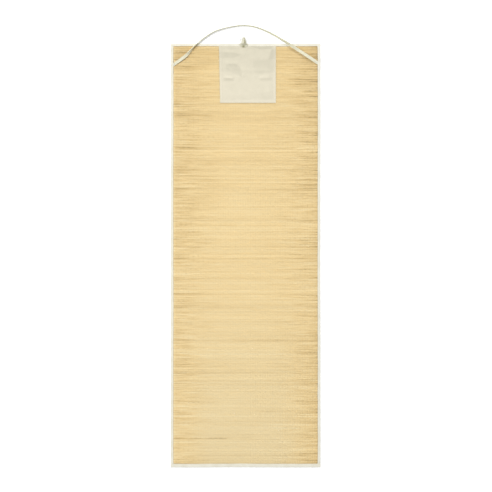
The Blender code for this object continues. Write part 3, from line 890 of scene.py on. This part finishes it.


# %% [markdown]
# ## Pillow pocket
#
# The pocket is one piece of cloth, hemmed on three sides and sewn flat on the straw, with its top under the
# head tape. A flat air pillow inside lifts it a little. One table lists its main creases, and another the
# places where shade is painted on the cloth, darker where its creases shade it; the top of the pocket gets
# painted shade as well. The many small creases come from layers of random hills. The foot of the pocket is
# drawn in a little on its left.

# %% Sizes and creases of the pocket
POCKET_FOOT, POCKET_TOP = 612 * MM, 843 * MM
POCKET_LIP = HALF_LENGTH - TAPE_COVER
POCKET_DRAWN_IN = 4.5 * MM
HEM = 9 * MM
CLOSE_LINES = (0.0, 0.5, 1.2, 2.0, 2.8, 4.0, 5.6, 6.6, 7.4, 8.2, 9.0, 9.8)
CLOSE_REACH = 11 * MM
GRID_STEP = 1.9 * MM
HEM_THICK = 0.9 * MM
HEM_SEAMS = (2.0 * MM, 7.4 * MM)
FILL = 0.7 * MM
POCKET_CLOTH_THICK = 0.45 * MM
CREASES = (
    # from x, from y, to x, to y, half width, rise; millimetres
    (-90, 713, -56, 711, 6, 2.2),
    (60, 712, 106, 714, 7, 1.5),
    (-76, 770, -42, 770, 9, 1.6),
    (-38, 766, -10, 722, 9, 1.5),
    (-104, 818, -46, 816, 8, 1.6),
    (86, 832, 118, 800, 8, 1.6),
    (30, 792, 104, 788, 12, 1.2),
    (-10, 743, 112, 739, 8, 0.9),
    (98, 662, 106, 626, 9, 1.3),
)
print("creases", len(CREASES))


# %% Places on the pocket
def from_hem(x, y):
    """Distance in from the nearest of the three hemmed edges."""
    return np.minimum(np.minimum(x - POCKET_LEFT, POCKET_RIGHT - x), y - POCKET_FOOT)


def draw_in(x, y):
    """Moves x as the drawn-in cloth does: most at the foot on the left, and nothing on the right."""
    drawn = POCKET_DRAWN_IN * np.clip((POCKET_TOP - y) / (POCKET_TOP - POCKET_FOOT), 0, 1)
    return x + drawn * (POCKET_RIGHT - x) / (POCKET_RIGHT - POCKET_LEFT)


# %% Painted shade on the pocket
PAINTED_SHADE_PATCHES = (
    # how much darker the painted shade makes it, how soft the border is, and the corners; millimetres
    (0.65, 6, ((-118, 816), (-48, 814), (-16, 806), (-46, 793), (-118, 792))),
    (0.45, 6, ((-80, 768), (-44, 769), (-24, 758), (-14, 742),
               (-18, 714), (-36, 720), (-60, 736), (-80, 746))),
    (0.25, 8, ((-70, 768), (-40, 768), (-20, 750), (-20, 722), (-50, 738))),
    (0.30, 5, ((-104, 752), (-68, 752), (-68, 737), (-104, 737))),
    (0.40, 9, ((30, 776), (116, 786), (118, 734), (34, 732))),
    (0.70, 5, ((-92, 713), (-66, 710), (-48, 703), (-52, 698), (-90, 699))),
    (0.35, 6, ((56, 704), (80, 710), (110, 715), (112, 699), (62, 698))),
    (0.80, 7, ((104, 826), (119, 830), (119, 788), (92, 786))),
    (0.90, 5, ((8, 843), (112, 843), (104, 829), (60, 826))),
    (0.30, 10, ((58, 650), (112, 660), (114, 626), (66, 626))),
)
print("darker places", len(PAINTED_SHADE_PATCHES))


def soft_shape(x, y, corners, soft):
    """1 inside a convex shape, whose corners go clockwise, and 0 outside, with a soft border."""
    depth = np.full(x.shape, 1e3)
    for (x0, y0), (x1, y1) in zip(corners, corners[1:] + corners[:1]):
        length = math.hypot(x1 - x0, y1 - y0)
        depth = np.minimum(depth, ((y1 - y0) * (x - x0) - (x1 - x0) * (y - y0)) / length)
    return ease(depth / soft + 0.5)


def pocket_painted_shade(x, y):
    """Painted shade on the pocket: darker towards its top and in the listed patches, where its creases are
    shaded. The hems are double, so they stay light.
    """
    painted_shade = 0.25 * ease((from_hem(x, y) - HEM) / MM) + 0.85 * ease((y - 0.66) / 0.18)
    for darker, soft, corners in PAINTED_SHADE_PATCHES:
        painted_shade = painted_shade + darker * soft_shape(x / MM, y / MM, corners, soft)
    return painted_shade


# %% The top of the pocket
def away_from_line(x, y, x0, y0, x1, y1):
    """Distance from the nearest point between two ends."""
    run_x, run_y = x1 - x0, y1 - y0
    share = np.clip(((x - x0) * run_x + (y - y0) * run_y) / (run_x**2 + run_y**2), 0, 1)
    return np.hypot(x - x0 - run_x * share, y - y0 - run_y * share)


def folded(x, y, size, seed):
    """Sharp small ridges between soft hollows, from 0 to about 1."""
    return 1 - np.minimum(np.abs(hills(x, y, size, seed, waves=5)), 1.0) ** 0.7


def pocket_top(x, y):
    """Height of the pocket's upper side: hem, swell of the pillow, creases and seams."""
    inside = np.maximum(np.minimum(from_hem(x, y), POCKET_LIP - y), 0.0)
    rise = np.zeros_like(x)
    for x0, y0, x1, y1, half_width, height in CREASES:
        away = away_from_line(x / MM, y / MM, x0, y0, x1, y1)
        rise += height * MM * np.exp(-((away / half_width) ** 2))
    swell = ease((inside - HEM - 2 * MM) / (24 * MM))
    top = LAID + HEM_THICK + swell * (FILL + rise)
    top += swell * (0.35 * MM * folded(x, y, 0.070, 31) + 0.10 * MM * folded(x, y, 0.025, 32))
    top += 0.04 * MM * hills(x, y, 0.02, 33) * ease(inside / (6 * MM))
    # the hem is two layers thick, and two rows of stitches hold it down
    top -= 0.32 * MM * ease((inside - HEM) / (0.8 * MM)) * (1 - swell)
    for seam in HEM_SEAMS:
        top -= 0.18 * MM * np.exp(-(((inside - seam) / (0.9 * MM)) ** 2))
    top -= 0.15 * MM * (1 - ease(inside / (0.7 * MM)))
    # the part under the head tape is pressed flat
    pressed = ease((y - POCKET_LIP + 2.5 * MM) / (2.2 * MM))
    return top - (top - LAID - POCKET_CLOTH_THICK * 0.8) * pressed


# %% Make the pocket
def grid_lines(low, high):
    """Even lines with a few closer ones at both hems."""
    close = np.array(CLOSE_LINES) * MM
    low_inner, high_inner = low + CLOSE_REACH, high - CLOSE_REACH
    inner = np.linspace(low_inner, high_inner, round((high_inner - low_inner) / GRID_STEP))
    return np.concatenate([low + close, inner, (high - close)[::-1]])


def make_pocket():
    xs = grid_lines(POCKET_LEFT, POCKET_RIGHT)
    ys = np.append(grid_lines(POCKET_FOOT, POCKET_LIP), [POCKET_LIP + 1.5 * MM, POCKET_TOP])
    x, y = np.meshgrid(xs, ys)
    top = pocket_top(x, y)
    hollow = ease((from_hem(x, y) - HEM) / (3 * MM))
    bottom = LAID + (np.maximum(top - POCKET_CLOTH_THICK, LAID) - LAID) * hollow
    moved = draw_in(x, y) + 0.35 * MM * hills(y, 0.0, 0.05, 35) * np.exp(-((x - POCKET_LEFT) / (20 * MM)))
    points = np.concatenate([np.stack([moved, y, z], -1).reshape(-1, 3) for z in (top, bottom)])
    rows, columns = x.shape
    under = rows * columns
    faces = []
    for r in range(rows - 1):
        for c in range(columns - 1):
            k = r * columns + c
            faces.append((k, k + 1, k + columns + 1, k + columns))
            faces.append((under + k, under + k + columns, under + k + columns + 1, under + k + 1))
    for r in range(rows - 1):
        for k in (r * columns, r * columns + columns - 1):
            faces.append((k, k + columns, under + k + columns, under + k))
    for c in range(columns - 1):
        for k in (c, under - columns + c):
            faces.append((k, k + 1, under + k + 1, under + k))
    cloth = add_mesh("pocket_cloth", points, faces)
    face_out(cloth)
    cloth.data.set_sharp_from_angle(angle=math.radians(60))
    # the painted shade of the pocket goes on its points, above and below
    store(cloth, "painted_shade", np.tile(pocket_painted_shade(x, y).ravel(), 2))
    cloth.data.materials.append(POCKET_CLOTH)
    print(cloth.name, len(cloth.data.polygons), "faces")
    return cloth


pocket = make_pocket()


# %% [markdown]
# ## Carrying strap
#
# The strap is a strip of the same cloth, folded over and sewn along both edges, so it is thick and
# a little stiff. Its middle stands up on one edge beyond the head of the mat, and both ends twist
# down flat and go under the side tapes. Each row of the table gives a place and the turn there.

# %% Sizes and route of the strap
STRAP_WIDTH = 12.5 * MM
STRAP_THICK = 2.2 * MM
STRAP_END_THICK = 1.3 * MM
STRAP_TUCK = 15 * MM
STRAP_TAPER = 20 * MM
STRAP_FALL = 0.06
STRAP_STEP = 2 * MM
STRAP_SEAM = 4.6 * MM
# how dark the painted shade on the upright strap is, and where along the strap it starts and grows
STRAP_EDGE_SHADE = 1.3
EDGE_SHADE_FROM, EDGE_SHADE_RUN = 110 * MM, 50 * MM
BAR_STATION = 7
STRAP_ROUTE = (
    # x, y in millimetres, turn from flat in degrees, air under it in millimetres
    (-296, 760.3, 0, 0), (-284, 768.5, 0, 0), (-259.3, 785.5, 0, 2.5), (-236.5, 803, 18, 2.5),
    (-219.5, 821, 66, 1.5), (-205.5, 838, 88, 0.5), (-188.5, 853.5, 90, 0), (-160, 876.5, 90, 0),
    (-124, 898.5, 90, 0), (-84, 911.5, 90, 0), (-40, 920, 88, 0), (-4, 922.5, 84, 0),
    (40, 915.5, 78, 0), (82, 900, 74, 0), (118, 881.5, 70, 0), (146, 864, 60, 0.5),
    (166, 851.5, 46, 1.5), (186, 839.5, 26, 2.5), (222, 816.5, 4, 4), (258, 793, 0, 3.5),
    (284.5, 775.7, 0, 0), (296.5, 767.9, 0, 0),
)
print("strap", round(STRAP_WIDTH / MM, 1), "mm wide, along", len(STRAP_ROUTE), "places")


# %% A smooth line with even steps
def smooth_line(rows, steps):
    """A smooth curve through the rows of a table, with `steps` points from each row to the next."""
    rows = np.asarray(rows, float)
    padded = np.concatenate([rows[:1], rows, rows[-1:]])
    found = []
    for k in range(len(rows) - 1):
        p0, p1, p2, p3 = padded[k : k + 4]
        slope_in, slope_out = (p2 - p0) / 2, (p3 - p1) / 2
        for share in np.arange(steps) / steps:
            curve = 2 * p1 - 2 * p2 + slope_in + slope_out
            bend = 3 * p2 - 3 * p1 - 2 * slope_in - slope_out
            found.append(p1 + slope_in * share + bend * share**2 + curve * share**3)
    return np.array(found + [rows[-1]])


def even_line(points, step):
    """The same line with its points spaced evenly in plan. Gives the points and their distances."""
    walked = np.concatenate([[0.0], np.cumsum(np.linalg.norm(np.diff(points[:, :2], axis=0), axis=1))])
    goals = np.linspace(0.0, walked[-1], round(walked[-1] / step) + 1)
    return np.stack([np.interp(goals, walked, column) for column in points.T], 1), goals


# %% The strap's frame
def strap_frame():
    """Centre, width direction, thickness direction and thickness at each station of the strap."""
    line, along = even_line(smooth_line(STRAP_ROUTE, 20) * [MM, MM, math.pi / 180, MM], STRAP_STEP)
    turn = line[:, 2]
    forward = np.gradient(np.append(line[:, :2], np.zeros((len(line), 1)), axis=1), axis=0)
    forward /= np.linalg.norm(forward, axis=1, keepdims=True)
    outward = np.stack([-forward[:, 1], forward[:, 0], 0 * turn], 1)
    wide = outward * np.cos(turn)[:, None] + np.array([0, 0, 1]) * np.sin(turn)[:, None]
    thin = np.cross(forward, wide)
    from_end = np.minimum(along, along[-1] - along)
    thick = STRAP_END_THICK + (STRAP_THICK - STRAP_END_THICK) * ease((from_end - STRAP_TUCK) / STRAP_TAPER)
    reach = STRAP_WIDTH / 2 * np.cos(turn) + STRAP_THICK / 2
    on_straw = line[:, 1] + reach < POCKET_LIP - 1.3 * MM
    on_tape = (line[:, 1] - reach < HALF_LENGTH + 0.8 * MM) & ~on_straw
    support = np.select([on_straw, on_tape], [LAID, TAPE_TOP + 0.3 * MM], 0.0)
    # it is stiff, so it comes down from each support at a gentle slope
    floor_height = (support[None, :] - STRAP_FALL * np.abs(along[:, None] - along[None, :])).max(1)
    half = STRAP_WIDTH / 2 * np.abs(wide[:, 2]) + thick / 2 * np.abs(thin[:, 2])
    lift = np.maximum(line[:, 3], 0.0)
    centre = np.stack([line[:, 0], line[:, 1], floor_height + lift + half], 1)
    return along, centre, forward, wide, thin, thick


STRAP = strap_frame()
print("strap", round(float(STRAP[0][-1]), 3), "m long")


def strap_spot(k, across, side, bulge=0.0):
    """A point on the strap at one station, `across` from its middle line, on its upper or lower side."""
    along, centre, forward, wide, thin, thick = (part[k] for part in STRAP)
    from_end = min(along, STRAP[0][-1] - along)
    slant = -wide[0] / forward[0] * (1 - float(ease(from_end / 0.03))) if abs(forward[0]) > 0.2 else 0.0
    return centre + wide * across + forward * across * slant + thin * (side * thick / 2 + bulge)


# %% A true-size map for the cloth
def add_cloth_map(piece, stations, rings):
    """A true-size map for the cloth pattern: distance along, and distance round the section, in metres."""
    ring = np.asarray(rings[len(rings) // 2])
    steps = np.linalg.norm(np.roll(ring, -1, 0) - ring, axis=1)
    around = np.concatenate([[0.0], np.cumsum(steps)])
    layer = piece.data.uv_layers.new(name="cloth")
    for corners in ring_corners(piece.data, len(ring)):
        for k, row, turn in corners:
            layer.data[k].uv = (stations[row], around[turn])


# %% Loft the strap
def make_strap():
    along, _, _, wide, _, _ = STRAP
    edge, seam = STRAP_WIDTH / 2, STRAP_SEAM
    steps = [-edge + 0.35 * MM, -seam - 0.7 * MM, -seam, -seam + 0.7 * MM, -2.2 * MM]
    across = np.array(steps + [0.0] + [-a for a in reversed(steps)])
    rings = []
    for k, spot in enumerate(along):
        pull = 0.16 * MM * 0.5 * (1 + math.cos(2 * math.pi * spot / STITCH_PITCH))
        width = 1 + 0.015 * float(hills(spot, 0.0, 0.05, 51))
        puff = 0.10 * MM * float(hills(spot, 1.0, 0.03, 52))
        ring = []
        for side in (1, -1):
            for a in across[::side]:
                dip = pull + 0.12 * MM if abs(abs(a) - seam) < 0.1 * MM else 0.0
                soft = puff if abs(a) < 3 * MM else 0.0
                ring.append(strap_spot(k, a * width, side, side * (soft - dip)))
            ring.append(strap_spot(k, side * edge * width, 0.0))
        rings.append(ring)
    strap = loft("strap_band", rings, 70, STRAP_CLOTH)
    map_strip(strap, along, len(rings[0]))
    add_cloth_map(strap, along, rings)
    # painted shade: the strap is darker where it stands up on its edge, past the twist at its left end
    edge_shade = STRAP_EDGE_SHADE * np.abs(wide[:, 2]) ** 4 * ease((along - EDGE_SHADE_FROM) / EDGE_SHADE_RUN)
    store(strap, "painted_shade", edge_shade.repeat(len(rings[0])))
    return strap


strap = make_strap()


# %% [markdown]
# ## Seams
#
# A sewing machine makes the same stitch thousands of times. One short arc of thread is the stitch,
# and a point for each place it belongs carries two directions: the way the seam runs, and the way
# out of the cloth. Geometry Nodes put a copy on each point. Each seam below is a list of stitches:
# their place, the way the seam runs there, and the way out.

# %% The tree of the stitches
THREAD_RADIUS = 0.21 * MM
STITCH_LENGTH = 3.1 * MM


def make_stitch_tree():
    sizes = {"Stitch length": STITCH_LENGTH, "Thread radius": THREAD_RADIUS}
    tree, given = new_geometry_tree("stitches", sizes)
    half = calc(tree, "MULTIPLY", given["Stitch length"], 0.5)
    sink = calc(tree, "MULTIPLY", given["Thread radius"], -1.2)
    start = add(tree, "ShaderNodeCombineXYZ", {"X": calc(tree, "MULTIPLY", half, -1.0), "Z": sink})
    top = add(tree, "ShaderNodeCombineXYZ", {"Z": calc(tree, "MULTIPLY", given["Thread radius"], 2.2)})
    end = add(tree, "ShaderNodeCombineXYZ", {"X": half, "Z": sink})
    arc = add(tree, "GeometryNodeCurveQuadraticBezier",
              {"Resolution": 2, "Start": start, "Middle": top, "End": end})
    round_thread = {"Resolution": 4, "Radius": given["Thread radius"]}
    ring = add(tree, "GeometryNodeCurvePrimitiveCircle", round_thread)
    stitch = add(tree, "GeometryNodeCurveToMesh", {"Curve": arc, "Profile Curve": ring, "Fill Caps": True})
    run = add(tree, "GeometryNodeInputNamedAttribute", {"Name": "run"}, data_type="FLOAT_VECTOR")
    out = add(tree, "GeometryNodeInputNamedAttribute", {"Name": "out"}, data_type="FLOAT_VECTOR")
    turn = add(tree, "FunctionNodeAlignRotationToVector", {"Vector": run}, axis="X")
    turn = add(tree, "FunctionNodeAlignRotationToVector", {"Rotation": turn, "Vector": out},
               axis="Z", pivot_axis="X")
    places = add(tree, "GeometryNodeMeshToPoints", {"Mesh": tree.nodes["Group Input"].outputs["Geometry"]})
    stitches = {"Points": places, "Instance": stitch, "Rotation": turn}
    close_tree(tree, add(tree, "GeometryNodeInstanceOnPoints", stitches), THREAD)
    return tree


stitch_tree = make_stitch_tree()


# %% Sew
def sew(name, stitches):
    places, runs, outs = zip(*stitches)
    mesh = bpy.data.meshes.new(name)
    mesh.from_pydata([tuple(p) for p in places], [], [])
    for label, vectors in (("run", runs), ("out", outs)):
        layer = mesh.attributes.new(label, "FLOAT_VECTOR", "POINT")
        layer.data.foreach_set("vector", np.asarray(vectors, np.float32).ravel())
    return grow(name, stitch_tree, mesh=mesh)


# %% Seams of the tapes
def tape_seam(edge, start, end, cover):
    """Stitches on the top and on the underside of one tape."""
    stitches = []
    run = (0, 1, 0) if edge in ("left", "right") else (1, 0, 0)
    margin = 9 * MM if edge in ("left", "right") else 2 * MM
    first = math.ceil((start + margin) / STITCH_PITCH)
    last = math.floor((end - margin) / STITCH_PITCH)
    for k in range(first, last):
        along = (k + 0.5) * STITCH_PITCH
        high = TAPE_TOP + float(tape_hump(edge, along)) + 0.05 * MM
        for up, out in ((high, 1), (0.12 * MM, -1)):
            spot = stand_up(edge, along, np.array([[cover - SEAM_FROM_LIP, up]]))[0]
            stitches.append((spot, run, (0, 0, out)))
    return stitches


seams = {}
for edge, (start, end, cover, _, _) in TAPE_RUNS.items():
    seams[edge] = sew(f"stitches_{edge}", tape_seam(edge, start, end, cover))


# %% Seams of the pocket
def pocket_seam():
    """Two rows of stitches along the three hems."""
    spots = []
    for inset in HEM_SEAMS:
        for y in np.arange(POCKET_FOOT + inset, POCKET_LIP - 2 * MM, STITCH_PITCH):
            for x in (POCKET_LEFT + inset, POCKET_RIGHT - inset):
                spots.append((x, y, (0, 1, 0)))
        for x in np.arange(POCKET_LEFT + inset + 2 * MM, POCKET_RIGHT - inset - MM, STITCH_PITCH):
            spots.append((x, POCKET_FOOT + inset, (1, 0, 0)))
    x, y, runs = zip(*spots)
    x, y = np.array(x), np.array(y)
    places = np.stack([draw_in(x, y), y, pocket_top(x, y) + 0.1 * MM], 1)
    return [(place, run, (0, 0, 1)) for place, run in zip(places, runs)]


seams["pocket"] = sew("stitches_pocket", pocket_seam())


# %% Seams of the strap
def strap_seam():
    """Two rows of stitches on both sides of the strap, and a bar of close ones at each end."""
    stitches = []
    along, _, forward, wide, thin, _ = STRAP
    last = int(along[-1] / STITCH_PITCH)
    for n in range(2, last - 1):
        k = int(np.argmin(np.abs(along - (n + 0.5) * STITCH_PITCH)))
        for a in (-STRAP_SEAM, STRAP_SEAM):
            for side in (1, -1):
                stitches.append((strap_spot(k, a, side, -side * 0.14 * MM), forward[k], thin[k] * side))
    for k in (BAR_STATION, len(along) - 1 - BAR_STATION):
        for a in np.linspace(-3.8, 3.8, 8) * MM:
            stitches.append((strap_spot(k, a, 1, 0.05 * MM), forward[k] + 0.35 * wide[k], thin[k]))
    return stitches


seams["strap"] = sew("stitches_strap", strap_seam())


# %% [markdown]
# ## Valve
#
# The blow-up valve of the pillow is soft, milky vinyl. Its flat base comes out at the pocket's top edge and
# narrows to a short tube, which is pinched to a welded ridge. A plug closes the tube, and a thin strip ties
# the plug on, so that it cannot be lost. All of it is round or flat, so lofted rings are enough. Shade is
# painted on the vinyl, darker and greener where an attribute says: a shadow at the root of the tube, and
# shade down its right side.

# %% Vinyl
# the vinyl's own colour, and the colour of the shade painted on it
PLAIN_VINYL, VINYL_SHADE = (0.62, 0.60, 0.46), (0.22, 0.20, 0.08)


def make_vinyl_finish():
    """Milky vinyl, with painted shade, darker and greener, where an attribute says."""
    material, tree, shader = new_finish("soft_vinyl", 0.36, Coat_Weight=0.2, Coat_Roughness=0.25)
    color = color_ramp(tree, attribute(tree, "thick"), ((0.0, PLAIN_VINYL), (1.0, VINYL_SHADE)))
    tree.links.new(color, shader.inputs["Base Color"])
    return material


VINYL = make_vinyl_finish()
print("finish", VINYL.name)

# %% Sizes of the valve
VALVE_X = -6.8 * MM
VALVE_FLOOR = 4.25 * MM
TUBE_HEIGHT = 3.8 * MM
VALVE_AXIS = VALVE_FLOOR + TUBE_HEIGHT
VALVE_SIDES = 40
# how dark the painted shade on the tube's right side is
RIDGE_SHADE = 0.9
VALVE_PROFILE = (
    # y, half width, half height; millimetres
    (834, 6, 0.4), (837, 12, 0.5), (842.5, 15.6, 1.0), (846, 15.6, 2.0), (848, 11, 4.2), (853, 9.2, 5.4),
    (861, 7, 5.2), (868, 5.6, 4.4), (871, 5.2, 3.8),
)
PLUG_PROFILE = (
    # y, radius; millimetres
    (870.6, 2.2), (871.25, 2.2), (871.3, 5.5), (871.6, 6.0), (872.2, 6.2), (873.2, 6.2), (873.7, 6.0),
    (873.95, 5.4), (873.9, 4.2), (873.6, 3.8), (873.55, 1.2),
)
PULL_ROUTE = (
    # x, y of the strip's middle line; millimetres
    (-9, 872.6), (-15, 873.8), (-20.5, 873.2), (-23.2, 869), (-23.4, 862), (-22.6, 855), (-21.2, 848.6),
)
PULL_SECTION = (
    # across and up; millimetres
    (0.5, -1.5), (0.5, 1.5), (0.3, 1.9), (-0.3, 1.9), (-0.5, 1.5), (-0.5, -1.5), (-0.3, -1.9), (0.3, -1.9),
)
print("valve axis", round(VALVE_AXIS / MM, 2), "mm above the ground")


# %% The rings of the valve
def round_ring(y, half_width, half_height, axis, crest=0.0):
    """An ellipse, or with a crest a section that comes to a ridge along its top and sides."""
    turn = np.linspace(0, 2 * math.pi, VALVE_SIDES, endpoint=False)
    power = 1 + 0.7 * crest
    across = half_width * np.sign(np.cos(turn)) * np.abs(np.cos(turn)) ** power
    across = across + 0.4 * crest * half_width * np.maximum(np.sin(turn), 0)
    up = half_height * np.sign(np.sin(turn)) * np.abs(np.sin(turn)) ** power
    return np.stack([VALVE_X + across, np.full(VALVE_SIDES, y), axis + up], 1)


# %% Make the tube
def make_stem():
    rows = smooth_line(VALVE_PROFILE, 5) * MM
    # the tube is pinched to a ridge from the base up, and is round again at its mouth
    crests = ease((rows[:, 0] - 843 * MM) / (4 * MM)) * ease((870 * MM - rows[:, 0]) / (8 * MM))
    rings = [round_ring(y, w, h, VALVE_FLOOR + h, crest) for (y, w, h), crest in zip(rows, crests)]
    stem = loft("valve_tube", rings, 50, VINYL)
    x, y, _ = (np.concatenate(rings) / MM).T
    x = x - VALVE_X / MM
    # painted shade: a shadow at the root of the tube, where its base comes out at the pocket, and shade
    # down the right side of the tube beside the welded ridge
    root_shadow = np.exp(-(((x + 1.5) / 6) ** 2) - ((y - 838) / 4.6) ** 2)
    ridge = ease(x / 1.2) * np.exp(-(((x - 2.5) / 5) ** 2)) * ease((y - 848) / 5) * ease((874 - y) / 18)
    store(stem, "thick", root_shadow + RIDGE_SHADE * ridge)
    return stem


valve_tube = make_stem()


# %% Make the plug and its strip
def make_plug():
    rings = [round_ring(y * MM, r * MM, r * MM, VALVE_AXIS) for y, r in PLUG_PROFILE]
    return loft("valve_cap", rings, 40, VINYL)


def make_pull():
    line, _ = even_line(smooth_line(PULL_ROUTE, 12) * MM, 0.8 * MM)
    forward = np.gradient(line, axis=0)
    forward /= np.linalg.norm(forward, axis=1, keepdims=True)
    rings = []
    for (x, y), (run_x, run_y) in zip(line, forward):
        ring = [(x - run_y * a * MM, y + run_x * a * MM, VALVE_AXIS + b * MM) for a, b in PULL_SECTION]
        rings.append(ring)
    return loft("valve_strip", rings, 40, VINYL)


valve_cap = make_plug()
valve_strip = make_pull()

# %% [markdown]
# ## What belongs to what
#
# Every piece rides with the one body of the mat, and the solid that it stands for is hidden.

# %% Hand the pieces to the frame
def hand_in(piece, slot, *nodes):
    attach(piece, "root")
    if nodes:
        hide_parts(*nodes)


for half in ("head", "foot"):
    hand_in(straws[half], "straw", "straw_mat")
    hand_in(threads[half], "straw", "straw_mat")
for edge, tape in tapes.items():
    hand_in(tape, "edge_tape", f"tape_{edge}")
    hand_in(seams[edge], "edge_tape", f"tape_{edge}")
    _, _, cover, _, _ = TAPE_RUNS[edge]
hand_in(pocket, "pocket_cloth", "pillow_pocket")
hand_in(seams["pocket"], "pocket_cloth", "pillow_pocket")
hand_in(strap, "strap_cloth", "carry_strap")
hand_in(seams["strap"], "strap_cloth", "carry_strap")
hand_in(valve_tube, "soft_vinyl", "valve_stem")
hand_in(valve_cap, "soft_vinyl", "valve_plug")
hand_in(valve_strip, "soft_vinyl", "valve_plug")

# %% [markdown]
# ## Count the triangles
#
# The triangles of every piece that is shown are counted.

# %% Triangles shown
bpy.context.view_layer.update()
triangles = 0
for thing in bpy.context.scene.objects:
    if thing.type == "MESH" and not thing.hide_render:
        triangles += sum(len(face.vertices) - 2 for face in thing.data.polygons)
print("triangles shown", triangles)
